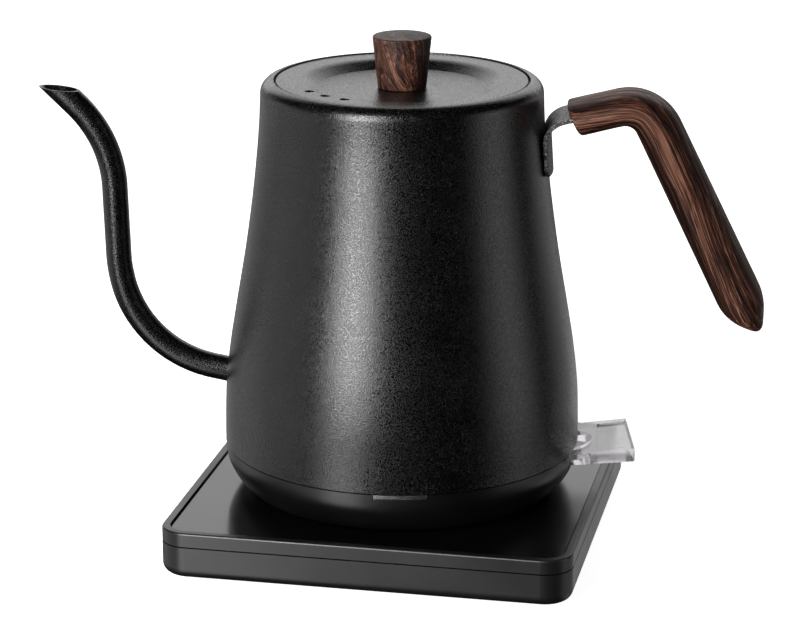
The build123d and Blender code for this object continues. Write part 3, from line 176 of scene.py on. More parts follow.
class Nodes:
    """Short calls that add shader nodes to a material."""

    def __init__(self, material):
        self.material = material
        self.tree = material.node_tree
        self.shader = self.tree.nodes["Principled BSDF"]

    def add(self, kind, **settings):
        node = self.tree.nodes.new(kind)
        for name, value in settings.items():
            setattr(node, name, value)
        return node

    def link(self, source, target):
        self.tree.links.new(source, target)

    def place(self):
        return self.add("ShaderNodeTexCoord").outputs["Object"]

    def attribute(self, name):
        return self.add("ShaderNodeAttribute", attribute_name=name).outputs["Vector"]

    def scaled(self, vector, scale):
        node = self.add("ShaderNodeMapping")
        node.inputs["Scale"].default_value = scale
        self.link(vector, node.inputs["Vector"])
        return node.outputs["Vector"]

    def noise(self, vector, scale, detail=3.0, roughness=0.5, distortion=0.0):
        node = self.add("ShaderNodeTexNoise")
        node.inputs["Scale"].default_value = scale
        node.inputs["Detail"].default_value = detail
        node.inputs["Roughness"].default_value = roughness
        node.inputs["Distortion"].default_value = distortion
        self.link(vector, node.inputs["Vector"])
        return node.outputs["Fac"]

    def spread(self, value, low, high, new_low=0.0, new_high=1.0):
        node = self.add("ShaderNodeMapRange")
        settings = (("From Min", low), ("From Max", high), ("To Min", new_low), ("To Max", new_high))
        for socket, number in settings:
            node.inputs[socket].default_value = number
        self.link(value, node.inputs["Value"])
        return node.outputs["Result"]

    def ramp(self, value, stops):
        node = self.add("ShaderNodeValToRGB")
        elements = node.color_ramp.elements
        while len(elements) < len(stops):
            elements.new(0.5)
        for element, (position, color) in zip(elements, stops):
            element.position = position
            element.color = (*color, 1)
        self.link(value, node.inputs["Fac"])
        return node.outputs["Color"]

    def mix(self, factor, a, b):
        node = self.add("ShaderNodeMix", data_type="RGBA")
        for socket, value in ((node.inputs[6], a), (node.inputs[7], b)):
            if isinstance(value, tuple):
                socket.default_value = (*value, 1)
            else:
                self.link(value, socket)
        if isinstance(factor, float):
            node.inputs[0].default_value = factor
        else:
            self.link(factor, node.inputs[0])
        return node.outputs[2]

    def math(self, operation, a, b):
        node = self.add("ShaderNodeMath", operation=operation)
        for socket, value in ((node.inputs[0], a), (node.inputs[1], b)):
            if isinstance(value, (int, float)):
                socket.default_value = value
            else:
                self.link(value, socket)
        return node.outputs[0]

    def bump(self, height, distance, strength):
        node = self.add("ShaderNodeBump")
        node.inputs["Distance"].default_value = distance
        node.inputs["Strength"].default_value = strength
        self.link(height, node.inputs["Height"])
        self.link(node.outputs["Normal"], self.shader.inputs["Normal"])

    def vary_roughness(self, value, low, high, new_low, new_high):
        self.link(self.spread(value, low, high, new_low, new_high), self.shader.inputs["Roughness"])


def powder_coat():
    """Matt black coat with a fine sandy grain and tiny pale flakes that sparkle where light falls."""
    grain_scale, flake_scale, mottle_scale = 2500, 3400, 70
    flake_share, mottle_share = 0.85, 0.15
    hollow_roughness, tip_roughness = 0.35, 0.16
    grain_depth = 0.00012
    stops = [(0.54, grey(0.0001)), (0.66, grey(0.001)), (0.8, grey(0.06))]
    n = Nodes(new_material("black_powder_coat", grey(0.0015), 0.3))
    place = n.place()
    grain = n.noise(place, grain_scale, 0.0)
    flakes = n.noise(place, flake_scale, 0.0)
    mottle = n.noise(place, mottle_scale, 3.0)
    n.vary_roughness(grain, 0.4, 0.62, hollow_roughness, tip_roughness)
    tone = n.math("ADD", n.math("MULTIPLY", flakes, flake_share), n.math("MULTIPLY", mottle, mottle_share))
    n.link(n.ramp(tone, stops), n.shader.inputs["Base Color"])
    n.bump(grain, grain_depth, 0.7)
    return n.material


def moulded_plastic(name, color, roughness):
    """Injection moulding with a faint spark-eroded texture and slight unevenness in its sheen."""
    texture_scale, texture_depth, cloud_scale = 2600, 0.00002, 35
    n = Nodes(new_material(name, color, roughness))
    place = n.place()
    texture = n.noise(place, texture_scale, 2.0)
    cloud = n.noise(place, cloud_scale, 3.0)
    n.vary_roughness(cloud, 0.3, 0.7, roughness * 0.88, roughness * 1.12)
    n.bump(texture, texture_depth, 0.5)
    return n.material


def polished_panel():
    """Glossy black panel whose shine is uneven, as after wiping."""
    haze_scale, clear_roughness, hazy_roughness = 18, 0.12, 0.26
    n = Nodes(new_material("gloss_black_plastic", grey(0.0015), 0.16))
    haze = n.noise(n.place(), haze_scale, 4.0)
    n.vary_roughness(haze, 0.35, 0.7, clear_roughness, hazy_roughness)
    return n.material


def metal(name, color, roughness, brushing=(1, 1, 1)):
    """Bare metal with fine drawn or turned lines along the axis whose brushing number is small."""
    line_scale, line_depth, tarnish_scale, tarnish_shade = 1400, 0.000006, 90, 0.78
    n = Nodes(new_material(name, color, roughness, 1.0))
    lines = n.noise(n.scaled(n.place(), brushing), line_scale, 3.0, 0.65)
    tarnish = n.noise(n.place(), tarnish_scale, 3.0)
    n.vary_roughness(lines, 0.3, 0.7, roughness * 0.8, roughness * 1.25)
    darker = tuple(c * tarnish_shade for c in color)
    n.link(n.ramp(tarnish, [(0.35, darker), (0.65, color)]), n.shader.inputs["Base Color"])
    n.bump(lines, line_depth, 0.5)
    return n.material


def rubber(name, color, roughness):
    """Rubber or silicone with a fine dull texture."""
    texture_scale, texture_depth = 1500, 0.00004
    n = Nodes(new_material(name, color, roughness))
    texture = n.noise(n.place(), texture_scale, 3.0, 0.6)
    n.vary_roughness(texture, 0.3, 0.7, roughness * 0.9, min(1.0, roughness * 1.1))
    n.bump(texture, texture_depth, 0.5)
    return n.material


def clear_plastic(name, color, roughness):
    """Transparent moulding with faint flow lines in its polish."""
    flow_scale, flow_stretch, refraction = 120, (1, 3, 3), 1.49
    n = Nodes(new_material(name, color, roughness, IOR=refraction, Transmission_Weight=1.0))
    flow = n.noise(n.scaled(n.place(), flow_stretch), flow_scale, 2.0)
    n.vary_roughness(flow, 0.3, 0.7, roughness * 0.7, roughness * 1.5)
    return n.material


def bracket_paint():
    """Thick dark paint over blasted steel, with a coarse grain that shows as pale specks."""
    pit_scale, pit_depth, speck_scale = 900, 0.0006, 1500
    specks = [(0.5, grey(0.002)), (0.66, (0.3, 0.295, 0.28))]
    n = Nodes(new_material("bracket_black_paint", grey(0.03), 0.5, Specular_IOR_Level=0.6))
    place = n.place()
    pits = n.noise(place, pit_scale, 3.0, 0.7)
    wear = n.noise(place, speck_scale, 1.0, 0.6)
    n.link(n.ramp(wear, specks), n.shader.inputs["Base Color"])
    n.vary_roughness(pits, 0.3, 0.7, 0.34, 0.6)
    n.bump(pits, pit_depth, 0.8)
    return n.material


# features per metre of each layer of the wood's figure, first along the grain and then across it
SWIRL_SCALE = (22, 60, 60)
BAND_SCALE = (9, 190, 190)
FIGURE_SCALE = (9, 1250, 1250)
FIBRE_SCALE = (32, 2700, 2700)
PORE_SCALE = (38, 3000, 3000)
RING_STRETCH = (0.06, 1, 1)
RING_WAVE = {"Scale": 150, "Distortion": 3, "Detail": 3, "Detail Scale": 0.6, "Detail Roughness": 0.6}
BAND_SHARE, RING_SHARE, FIGURE_SHARE, FIBRE_SHARE = 0.5, 0.16, 0.55, 0.45
WOOD_COLORS = [
    (0.66, (0.003, 0.001, 0.0006)),
    (0.78, (0.026, 0.009, 0.005)),
    (0.88, (0.086, 0.034, 0.0205)),
    (1.0, (0.2, 0.098, 0.066)),
]
PORE_COLOR = (0.006, 0.0025, 0.0018)
PORE_DEPTH = 0.00012
GRAIN = "grain"


def dark_wood(name, tilt, ring_offset, waviness, gloss, across):
    """Oiled dark walnut. The grain attribute is a place in the straight plank, in metres, x along the grain.
    Across holds where the plank's two sides are (metres) and a painted shade between them: how light the
    wood is made at stops across it, as if more light fell on one part than another."""
    n = Nodes(new_material(name, (0.1, 0.04, 0.025), 0.5, Specular_IOR_Level=gloss))
    plank = n.attribute(GRAIN)
    turned = n.add("ShaderNodeMapping")
    turned.inputs["Rotation"].default_value = (0, math.radians(tilt / 2), math.radians(tilt))
    turned.inputs["Location"].default_value = ring_offset
    n.link(plank, turned.inputs["Vector"])
    swirl = n.add("ShaderNodeTexNoise")
    swirl.inputs["Scale"].default_value = 1
    swirl.inputs["Detail"].default_value = 1
    n.link(n.scaled(turned.outputs["Vector"], SWIRL_SCALE), swirl.inputs["Vector"])
    sway = n.add("ShaderNodeVectorMath", operation="MULTIPLY_ADD")
    n.link(swirl.outputs["Color"], sway.inputs[0])
    sway.inputs[1].default_value = (0, waviness, waviness)
    n.link(turned.outputs["Vector"], sway.inputs[2])
    place = sway.outputs["Vector"]
    rings = n.add("ShaderNodeTexWave", wave_type="RINGS", rings_direction="X", wave_profile="SAW")
    for socket, value in RING_WAVE.items():
        rings.inputs[socket].default_value = value
    n.link(n.scaled(place, RING_STRETCH), rings.inputs["Vector"])
    bands = n.noise(n.scaled(place, BAND_SCALE), 1.0, 3.0, 0.6, 0.4)
    figure = n.noise(n.scaled(place, FIGURE_SCALE), 1.0, 3.0, 0.65)
    fibres = n.noise(n.scaled(place, FIBRE_SCALE), 1.0, 2.0, 0.6)
    tone = n.math("MULTIPLY", bands, BAND_SHARE)
    for value, share in ((rings.outputs["Fac"], RING_SHARE), (figure, FIGURE_SHARE), (fibres, FIBRE_SHARE)):
        tone = n.math("ADD", tone, n.math("MULTIPLY", value, share))
    # painted shade: lighter and darker bands across the piece stand in for how light falls on it, and are
    # added to the grain's tone
    sides, stops = across
    apart = n.add("ShaderNodeSeparateXYZ")
    n.link(n.mix(0.45, plank, place), apart.inputs["Vector"])
    profile = n.ramp(n.spread(apart.outputs["Y"], *sides), [(t, grey(v)) for t, v in stops])
    tone = n.math("ADD", tone, n.math("SUBTRACT", profile, 0.5))
    pores = n.noise(n.scaled(place, PORE_SCALE), 1.0, 1.0)
    pore_mask = n.spread(pores, 0.34, 0.42)
    n.link(n.mix(pore_mask, PORE_COLOR, n.ramp(tone, WOOD_COLORS)), n.shader.inputs["Base Color"])
    n.vary_roughness(tone, 0.65, 1.0, 0.58, 0.42)
    relief = n.math("ADD", n.math("MULTIPLY", pore_mask, 0.6), n.math("MULTIPLY", fibres, 0.6))
    n.bump(relief, PORE_DEPTH, 0.6)
    return n.material


# painted shade: how light the grip's wood is made from its inner edge to its back, darkest at the inner edge
# and darker in a band nearer the back
GRIP_PAINTED_SHADE = (
    (0.0002, 0.0192),
    (
        (0.0, 0.36), (0.14, 0.38), (0.3, 0.52), (0.42, 0.56),
        (0.56, 0.45), (0.64, 0.42), (0.76, 0.5), (1.0, 0.51),
    ),
)
# painted shade: how light the knob's wood is made from its left side to its right, lighter on the left where
# light falls and darker towards the right
KNOB_PAINTED_SHADE = ((-0.006, 0.017), ((0.0, 0.48), (0.3, 0.5), (0.6, 0.48), (0.8, 0.41), (1.0, 0.38)))

materials = {
    "black_powder_coat": powder_coat(),
    "satin_black_plastic": moulded_plastic("satin_black_plastic", grey(0.005), 0.36),
    "cup_black_plastic": moulded_plastic("cup_black_plastic", grey(0.0012), 0.34),
    "gloss_black_plastic": polished_panel(),
    "connector_plastic": moulded_plastic("connector_plastic", (0.03, 0.03, 0.032), 0.5),
    "white_plastic": moulded_plastic("white_plastic", (0.75, 0.74, 0.7), 0.45),
    "black_rubber": rubber("black_rubber", grey(0.02), 0.75),
    "silicone": rubber("silicone", (0.6, 0.6, 0.58), 0.5),
    "zinc_steel": metal("zinc_steel", (0.55, 0.55, 0.53), 0.35),
    "contact_brass": metal("contact_brass", (0.78, 0.57, 0.26), 0.28),
    "inner_steel": metal("inner_steel", (0.55, 0.55, 0.54), 0.3, (1, 1, 0.05)),
    "spreader_aluminium": metal("spreader_aluminium", (0.7, 0.7, 0.71), 0.45),
    "bimetal_strip": metal("bimetal_strip", (0.6, 0.55, 0.45), 0.35, (0.06, 1, 1)),
    "bright_strip": metal("bright_strip", (0.8, 0.8, 0.78), 0.25, (0.1, 1, 1)),
    "lamp_glass": clear_plastic("lamp_glass", (0.95, 0.75, 0.55), 0.03),
    "clear_acrylic": clear_plastic("clear_acrylic", (0.33, 0.32, 0.33), 0.12),
    "bracket_black_paint": bracket_paint(),
    "dark_wood": dark_wood("dark_wood", 3, (0, 0.014, 0.006), 0.005, 0.12, GRIP_PAINTED_SHADE),
}
knob_wood = dark_wood("knob_wood", 22, (0, 0.006, 0.012), 0.014, 0.24, KNOB_PAINTED_SHADE)
slot_of = {entry["node"]: entry["material_slot"] for entry in frame["record"]["subparts"]}


def dress_cad_nodes():
    """Every CAD node gets its slot's procedural material."""
    for name, obj in nodes.items():
        obj.data.materials.clear()
        obj.data.materials.append(materials[slot_of[name]])


# ---------------------------------------------------------------- mesh tools
# vertices closer than this (metres) become one
WELD = 1e-7


def round_corners(points, radii, steps):
    """The open line through points (mm) with each inner corner rounded to its radius."""
    line = [Vector(points[0])]
    for before, corner, after, radius in zip(points, points[1:], points[2:], radii):
        before, corner, after = Vector(before), Vector(corner), Vector(after)
        back = (before - corner).normalized()
        ahead = (after - corner).normalized()
        angle = back.angle(ahead)
        reach = radius / math.tan(angle / 2)
        centre = corner + (back + ahead).normalized() * radius / math.sin(angle / 2)
        start = corner + back * reach - centre
        end = corner + ahead * reach - centre
        sweep = start.angle_signed(end)
        for k in range(steps + 1):
            line.append(centre + Matrix.Rotation(-sweep * k / steps, 2) @ start)
    line.append(Vector(points[-1]))
    return line


def new_piece(name, verts, faces, slot, body, stands_for, sharp, material=None):
    """A smooth-shaded piece in metres that rides on a CAD body and hides the nodes it stands for."""
    mesh = bpy.data.meshes.new(name)
    mesh.from_pydata([tuple(v) for v in verts], [], faces)
    obj = bpy.data.objects.new(name, mesh)
    bpy.context.scene.collection.objects.link(obj)
    work = bmesh.new()
    work.from_mesh(mesh)
    bmesh.ops.remove_doubles(work, verts=work.verts, dist=WELD)
    bmesh.ops.recalc_face_normals(work, faces=work.faces)
    work.to_mesh(mesh)
    work.free()
    mesh.materials.append(material or materials[slot])
    mesh.shade_smooth()
    mesh.set_sharp_from_angle(angle=math.radians(sharp))
    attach(obj, body)
    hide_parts(*stands_for)
    return obj


def ring_faces(rows, count, closed_rows=False):
    """Quads between rows of count vertices, each row a closed ring."""
    faces = []
    for i in range(rows if closed_rows else rows - 1):
        for j in range(count):
            a, b = i * count, (i + 1) % rows * count
            k = (j + 1) % count
            faces.append((a + j, a + k, b + k, b + j))
    return faces


def lathe(profile, steps):
    """Vertices and faces of a closed (r, z) profile in mm turned about Z."""
    verts = []
    for r, z in profile:
        for k in range(steps):
            angle = 2 * math.pi * k / steps
            verts.append((r * math.cos(angle) * MM, r * math.sin(angle) * MM, z * MM))
    return verts, ring_faces(len(profile), steps, closed_rows=True)


def smooth_curve(stations, count):
    """Points at evenly spaced heights on a cubic curve through (r, z) stations."""
    z = np.array([s[1] for s in stations], float)
    r = np.array([s[0] for s in stations], float)
    slope = np.gradient(r, z)
    out = []
    for height in np.linspace(z[0], z[-1], count):
        i = min(np.searchsorted(z, height, side="right") - 1, len(z) - 2)
        h = z[i + 1] - z[i]
        t = (height - z[i]) / h
        value = (
            (2 * t**3 - 3 * t**2 + 1) * r[i]
            + (t**3 - 2 * t**2 + t) * h * slope[i]
            + (3 * t**2 - 2 * t**3) * r[i + 1]
            + (t**3 - t**2) * h * slope[i + 1]
        )
        out.append((float(value), float(height)))
    return out


# ---------------------------------------------------------------- vessel and spout
# every size from here on is in millimetres
WALL_STATIONS = (
    (70.4, 38.3), (70.3, 48), (69.9, 60), (67.8, 79), (66, 90),
    (60.9, 120), (57, 150), (55.3, 170), (55, 177.2),
)
WALL_T = 0.9
WALL_TOP_R, WALL_TOP_Z = WALL_STATIONS[-1]
WALL_BOTTOM_Z = WALL_STATIONS[0][1]
SHOULDER_R = 54.9
SHOULDER_TOP = 183.6
MOUTH_R = 49.7
SHELF_Z = 181.2
THROAT_R = 45.8
THROAT_BOTTOM = 176.5
THROAT_T = 0.8
OUTER_BENDS = (5.2, 0.5, 0.4, 0.5)
INNER_BENDS = (0.3, 0.3, 0.3, 3.5)
HEM = [(69.5, WALL_BOTTOM_Z), (69.7, 38.0), (70.2, 38.0)]


def build_vessel():
    """The body's outer wall, its shoulder and the stepped mouth the lid sits in, as one turned shell."""
    outer = smooth_curve(WALL_STATIONS, count=90)
    shoulder = round_corners(
        [
            outer[-1],
            (SHOULDER_R, SHOULDER_TOP),
            (MOUTH_R, SHOULDER_TOP),
            (MOUTH_R, SHELF_Z),
            (THROAT_R, SHELF_Z),
            (THROAT_R, THROAT_BOTTOM),
        ],
        OUTER_BENDS,
        steps=12,
    )
    inside = round_corners(
        [
            (THROAT_R + THROAT_T, THROAT_BOTTOM),
            (THROAT_R + THROAT_T, SHELF_Z - WALL_T),
            (MOUTH_R + WALL_T, SHELF_Z - WALL_T),
            (MOUTH_R + WALL_T, SHOULDER_TOP - WALL_T),
            (WALL_TOP_R - WALL_T, SHOULDER_TOP - WALL_T),
            (WALL_TOP_R - WALL_T, WALL_TOP_Z),
        ],
        INNER_BENDS,
        steps=6,
    )
    inner = [(r - WALL_T, z) for r, z in reversed(outer[:-1])]
    verts, faces = lathe(outer[:-1] + shoulder + inside + inner + HEM, steps=256)
    new_piece("vessel_body", verts, faces, "black_powder_coat", "kettle", ["vessel_shell"], sharp=30)


SPOUT_ROUTE = ((-60, 62.3), (-105.7, 71.2), (-112.4, 106.9), (-113.9, 157.7), (-155, 198.3))
SPOUT_BENDS = (45.7, 55.7, 48.1)
SPOUT_R = 5.05
SPOUT_WALL = 0.7
SPOUT_START = 8.0
SPOUT_LIP_ROUNDING = 0.22
MOUTH_HEEL = Vector((-125.6, 176.8))
MOUTH_SLOPE = math.radians(6.1)
# how close two points of a line may be, and how far to each side of a point its direction is measured
SAME_POINT = 1e-6
DIRECTION_REACH = 1.5


def walk(line):
    """A function from distance along a 2-D line to the point and direction there."""
    points = np.array([tuple(p) for p in line])
    keep = np.r_[True, np.linalg.norm(np.diff(points, axis=0), axis=1) > SAME_POINT]
    points = points[keep]
    length = np.r_[0, np.cumsum(np.linalg.norm(np.diff(points, axis=0), axis=1))]

    def at(s):
        here = np.array([np.interp(s, length, points[:, k]) for k in (0, 1)])
        before, after = (
            np.array([np.interp(s + step, length, points[:, k]) for k in (0, 1)])
            for step in (-DIRECTION_REACH, DIRECTION_REACH)
        )
        way = after - before
        return here, way / np.linalg.norm(way)

    return at, length[-1]


def build_spout():
    """The gooseneck as a bent tube from inside the wall to a mouth cut on a slope."""
    at, total = walk(round_corners(SPOUT_ROUTE, SPOUT_BENDS, steps=40))
    normal = np.array((math.sin(MOUTH_SLOPE), math.cos(MOUTH_SLOPE)))
    around, rows, halvings = 48, 150, 40

    def place(s, angle, radius):
        centre, way = at(s)
        side = np.array((way[1], -way[0]))
        flat = centre + side * radius * math.cos(angle)
        return flat, (flat[0] * MM, radius * math.sin(angle) * MM, flat[1] * MM)

    def mouth_distance(angle, radius):
        """How far along the route the line at this angle meets the mouth's plane, by halving."""
        low, high = total * 0.6, total
        for _ in range(halvings):
            middle = (low + high) / 2
            flat, _ = place(middle, angle, radius)
            if (flat - np.array(MOUTH_HEEL)) @ normal < 0:
                low = middle
            else:
                high = middle
        return low

    verts = []
    for radius, order in ((SPOUT_R, range(rows + 1)), (SPOUT_R - SPOUT_WALL, range(rows, -1, -1))):
        ends = [mouth_distance(2 * math.pi * j / around, radius) for j in range(around)]
        for i in order:
            for j in range(around):
                distance = SPOUT_START + (ends[j] - SPOUT_START) * (i / rows)
                verts.append(place(distance, 2 * math.pi * j / around, radius)[1])
    faces = ring_faces(2 * (rows + 1), around, closed_rows=True)
    obj = new_piece("gooseneck_spout", verts, faces, "black_powder_coat", "kettle", ["spout_tube"], sharp=40)
    soften_edges(obj, SPOUT_LIP_ROUNDING * MM, segments=2, angle=40)


def soften_edges(obj, width, segments, angle):
    """Rounds the edges sharper than angle (degrees) in the mesh itself."""
    bevel = obj.modifiers.new("bevel", "BEVEL")
    bevel.width = width
    bevel.segments = segments
    bevel.limit_method = "ANGLE"
    bevel.angle_limit = math.radians(angle)
    bevel.harden_normals = True
    apply_modifiers(obj)


def apply_modifiers(obj):
    """Makes the modifiers' result the object's own mesh."""
    bpy.context.view_layer.update()
    evaluated = obj.evaluated_get(bpy.context.evaluated_depsgraph_get())
    mesh = bpy.data.meshes.new_from_object(evaluated)
    old = obj.data
    obj.modifiers.clear()
    obj.data = mesh
    bpy.data.meshes.remove(old)


# ---------------------------------------------------------------- lid and knob
def drill(obj, places, radius, depth, top):
    """Cuts round holes (mm) straight down through a piece."""
    cutter_mesh = bpy.data.meshes.new("cutter")
    work = bmesh.new()
    for x, y in places:
        matrix = Matrix.Translation(Vector((x, y, top - depth / 2)) * MM)
        bmesh.ops.create_cone(
            work,
            cap_ends=True,
            segments=32,
            radius1=radius * MM,
            radius2=radius * MM,
            depth=depth * MM,
            matrix=matrix,
        )
    work.to_mesh(cutter_mesh)
    work.free()
    cutter = bpy.data.objects.new("cutter", cutter_mesh)
    bpy.context.scene.collection.objects.link(cutter)
    boolean = obj.modifiers.new("holes", "BOOLEAN")
    boolean.object = cutter
    boolean.operation = "DIFFERENCE"
    boolean.solver = "EXACT"
    apply_modifiers(obj)
    bpy.data.objects.remove(cutter)


STEAM_HOLE_ANGLES = (-144.6, -130.8, -117.6)
STEAM_HOLE_RING_R = 41.1
STEAM_HOLE_R = 2.0
STEAM_HOLE_DEPTH = 6
DRILL_TOP = 185
LID_R = 48.9
LID_T = 0.9
LID_TOP = 183.3
LID_RIM_BOTTOM = 181.4
LID_RIM_BENDS = (0.3, 0.5)
DISH_FLOOR_Z = 180.3
DISH_EDGE_R = 39
DISH_FLOOR_R = 33
DISH_BENDS = (9, 0.15)
DISH_MARGIN = 5
LID_CENTRE_HOLE_R = 2.1


def build_lid():
    """The lid's cover: a thin turned shell with a shallow dish, drilled for steam."""
    rim_inner_r, dish_start_r = LID_R - LID_T, DISH_EDGE_R + DISH_MARGIN
    rim = round_corners(
        [(rim_inner_r, LID_RIM_BOTTOM), (LID_R, LID_RIM_BOTTOM), (LID_R, LID_TOP), (dish_start_r, LID_TOP)],
        LID_RIM_BENDS,
        steps=6,
    )
    top = round_corners(
        [
            (dish_start_r, LID_TOP),
            (DISH_EDGE_R, LID_TOP),
            (DISH_FLOOR_R, DISH_FLOOR_Z),
            (DISH_FLOOR_R - DISH_MARGIN, DISH_FLOOR_Z),
        ],
        DISH_BENDS,
        steps=14,
    )
    top = top[1:] + [(LID_CENTRE_HOLE_R, DISH_FLOOR_Z)]
    under = [(r, z - LID_T) for r, z in reversed(top)]
    verts, faces = lathe(rim + top + under + [(rim_inner_r, LID_TOP - LID_T)], steps=256)
    lid = new_piece("lid_cover", verts, faces, "black_powder_coat", "lid", ["lid_top"], sharp=30)
    angles = [math.radians(a) for a in STEAM_HOLE_ANGLES]
    holes = [(STEAM_HOLE_RING_R * math.cos(a), STEAM_HOLE_RING_R * math.sin(a)) for a in angles]
    drill(lid, holes, STEAM_HOLE_R, STEAM_HOLE_DEPTH, DRILL_TOP)
    lid.data.set_sharp_from_angle(angle=math.radians(30))


KNOB_BOTTOM, KNOB_TOP = 180.35, 200.5
KNOB_BOTTOM_R, KNOB_TOP_R = 9.4, 11.5
KNOB_BENDS = (0.5, 0.7)
# the profile closes this close to the axis
KNOB_AXIS_R = 0.01
KNOB_GRAIN_START = 190


def build_knob():
    """The tapered wooden knob, wider at its top."""
    side = round_corners(
        [
            (KNOB_AXIS_R, KNOB_BOTTOM),
            (KNOB_BOTTOM_R, KNOB_BOTTOM),
            (KNOB_TOP_R, KNOB_TOP),
            (KNOB_AXIS_R, KNOB_TOP),
        ],
        KNOB_BENDS,
        steps=6,
    )
    verts, faces = lathe(side, steps=96)
    knob = new_piece("wood_knob", verts, faces, "dark_wood", "lid", ["lid_knob"], 40, material=knob_wood)
    store_grain(knob, lambda p: (p.z - KNOB_GRAIN_START * MM, p.x, p.y))


def store_grain(obj, straighten):
    """Keeps for each vertex its place in the straight plank the piece was cut from."""
    attribute = obj.data.attributes.new(GRAIN, "FLOAT_VECTOR", "POINT")
    for vertex, item in zip(obj.data.vertices, attribute.data):
        item.vector = straighten(vertex.co)


# ---------------------------------------------------------------- handle
GRIP_TIP = (138.8, 86.4)
GRIP_BACK = ((63.6, 175.2), (100.2, 184.0), (142.4, 98.8), (142.0, 86.2), GRIP_TIP)
GRIP_BACK_BENDS = (22, 20, 3)
GRIP_FRONT = ((69.7, 163.2), (88.9, 168.2), (126.6, 90.4), GRIP_TIP)
GRIP_FRONT_BENDS = (5, 16)
GRIP_HALF_W = 14.3
GRIP_FULLNESS = 2.6
GRIP_BACK_BEND_END = 32.5
GRIP_FRONT_BEND_END = 19.0
GRIP_BACK_TIP_LENGTH = 15.5
GRIP_FRONT_TIP_LENGTH = 14.5
# rings that close the grip's front end: share of the first section, and how far (mm) into the grip
GRIP_END_RINGS = ((0.02, 0), (0.8, 0), (0.9, 0.12), (0.96, 0.45), (0.99, 0.95))


def evenly(first, last, count):
    """Pairs of distances that run from first, left out, to last in equal steps."""
    for k in range(1, count + 1):
        t = k / count
        yield tuple(a + (b - a) * t for a, b in zip(first, last))


def build_grip():
    """The bent grip as rounded sections between its back and front outlines, closed by a rounded tip."""
    back, back_length = walk(round_corners(GRIP_BACK, GRIP_BACK_BENDS, steps=30))
    front, front_length = walk(round_corners(GRIP_FRONT, GRIP_FRONT_BENDS, steps=30))
    around, bend_rows, arm_rows, tip_rows = 64, 26, 60, 26
    last_share, least_width = 0.9995, 0.02
    bend_end = (GRIP_BACK_BEND_END, GRIP_FRONT_BEND_END)
    tip_start = (back_length - GRIP_BACK_TIP_LENGTH, front_length - GRIP_FRONT_TIP_LENGTH)
    stations = [(0.0, 0.0)]
    stations += evenly((0.0, 0.0), bend_end, bend_rows)
    stations += evenly(bend_end, tip_start, arm_rows)
    for k in range(1, tip_rows + 1):
        t = min(math.sin(math.pi / 2 * k / tip_rows), last_share)
        stations.append(tuple(a + (b - a) * t for a, b in zip(tip_start, (back_length, front_length))))
    pairs = [(back(u)[0], front(v)[0]) for u, v in stations]
    tip_row = bend_rows + arm_rows
    full_chord = np.linalg.norm(pairs[tip_row][0] - pairs[tip_row][1])
    verts = []
    first_outer, first_inner = pairs[0]
    middle = (first_outer + first_inner) / 2
    into = (pairs[1][0] - pairs[0][0]) + (pairs[1][1] - pairs[0][1])
    into = into / np.linalg.norm(into)
    for share, depth in GRIP_END_RINGS:
        ends = [middle + (end - middle) * share + into * depth for end in pairs[0]]
        verts += section_ring(*ends, share, around)
    for index, (outer, inner) in enumerate(pairs[2:], start=2):
        width = 1.0
        if index > tip_row:
            chord = min(np.linalg.norm(outer - inner) / full_chord, 1)
            width = max(math.sqrt(1 - (1 - chord) ** 2), least_width)
        verts += section_ring(outer, inner, width, around)
    faces = ring_faces(len(verts) // around, around)
    faces.append(tuple(range(around)))
    faces.append(tuple(range(len(verts) - around, len(verts))))
    grip = new_piece("wood_grip", verts, faces, "dark_wood", "kettle", ["handle_grip"], sharp=50)
    spine = np.array([(outer + inner) / 2 for outer, inner in pairs])
    reach = np.r_[0, np.cumsum(np.linalg.norm(np.diff(spine, axis=0), axis=1))]

    def straighten(p):
        """A point's place in the grip as if it weren't bent: along its middle, across it, and its y."""
        flat = np.array((p.x, p.z)) / MM
        nearest = int(np.argmin(np.linalg.norm(spine - flat, axis=1)))
        way = spine[min(nearest + 1, len(spine) - 1)] - spine[max(nearest - 1, 0)]
        way = way / np.linalg.norm(way)
        offset = flat - spine[nearest]
        along = reach[nearest] + offset @ way
        across = offset @ np.array((-way[1], way[0]))
        return (along * MM, across * MM, p.y)

    store_grain(grip, straighten)


def section_ring(outer, inner, width, around):
    """One rounded cross-section between a point on the back line and one on the front line."""
    centre = (np.array(outer) + np.array(inner)) / 2
    reach = (np.array(outer) - np.array(inner)) / 2
    power = 2 / GRIP_FULLNESS
    ring = []
    for j in range(around):
        angle = 2 * math.pi * j / around
        c, s = math.cos(angle), math.sin(angle)
        a = math.copysign(abs(c) ** power, c)
        b = math.copysign(abs(s) ** power, s)
        flat = centre + reach * a
        ring.append((flat[0] * MM, GRIP_HALF_W * width * b * MM, flat[1] * MM))
    return ring


STRAP_ROUTE = ((58.25, 148), (56.95, 168.6), (74, 172.7))
STRAP_BEND = 7.5
STRAP_T = 1.7
STRAP_HALF_W = 13.5
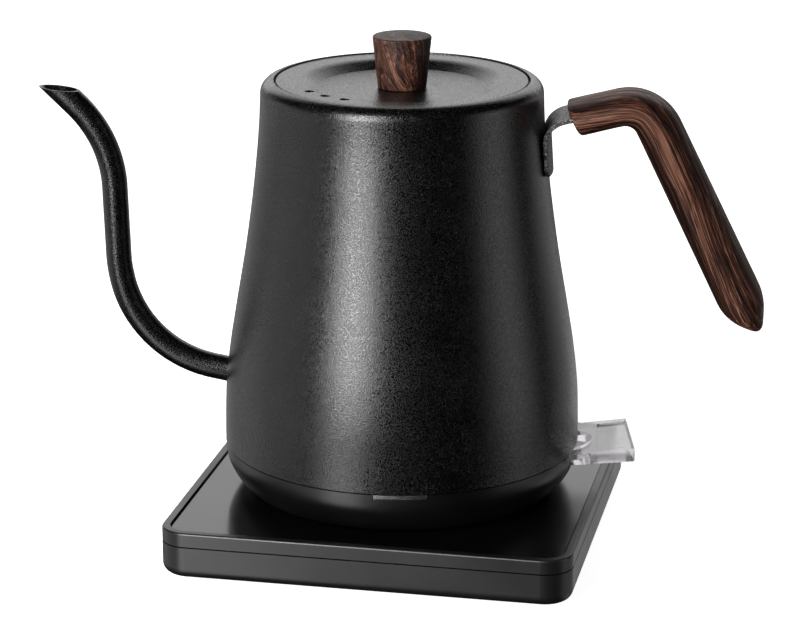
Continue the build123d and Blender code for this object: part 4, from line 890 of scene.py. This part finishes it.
# the length of the foot over which its corners are rounded off
STRAP_CORNER = 3.0
STRAP_ROUNDING = 0.45
# the strap follows the body's round side up to here, and is flat from here on
STRAP_HUG_END, STRAP_FLAT_START = 13.0, 25.0
STRAP_SEAT_R = 57.5


def build_bracket():
    """The bent steel strap that holds the grip, its foot curved to the body's side."""
    at, total = walk(round_corners(STRAP_ROUTE, [STRAP_BEND], steps=24))
    rows, columns = 60, 24
    verts = []
    for side in (1, -1):
        for i in range(rows + 1):
            s = total * i / rows
            centre, way = at(s)
            across = np.array((way[1], -way[0]))
            hug = 1 - min(max((s - STRAP_HUG_END) / (STRAP_FLAT_START - STRAP_HUG_END), 0), 1)
            hug = hug * hug * (3 - 2 * hug)
            corner = max(STRAP_CORNER - s, 0)
            half = STRAP_HALF_W - corner * corner / STRAP_CORNER
            for j in range(columns + 1):
                y = half * (2 * j / columns - 1)
                drop = (STRAP_SEAT_R - math.sqrt(STRAP_SEAT_R**2 - y**2)) * hug
                flat = centre + across * side * STRAP_T / 2
                verts.append(((flat[0] - drop) * MM, y * MM, flat[1] * MM))
    grid = (rows + 1) * (columns + 1)
    faces = []

    def at_grid(i, j):
        return i * (columns + 1) + j

    for i in range(rows):
        for j in range(columns):
            a, b, c, d = at_grid(i, j), at_grid(i, j + 1), at_grid(i + 1, j + 1), at_grid(i + 1, j)
            faces.append((a, b, c, d))
            faces.append((a + grid, d + grid, c + grid, b + grid))
    edges = [(at_grid(i, j), at_grid(i + 1, j)) for i in range(rows) for j in (0, columns)]
    edges += [(at_grid(i, j), at_grid(i, j + 1)) for j in range(columns) for i in (0, rows)]
    faces += [(a, b, b + grid, a + grid) for a, b in edges]
    slot = "bracket_black_paint"
    strap = new_piece("bracket_strap", verts, faces, slot, "kettle", ["handle_bracket"], sharp=40)
    soften_edges(strap, STRAP_ROUNDING * MM, segments=3, angle=50)


add_camera()
add_studio()
add_floor()
dress_cad_nodes()
build_vessel()
build_spout()
build_lid()
build_knob()
build_grip()
build_bracket()
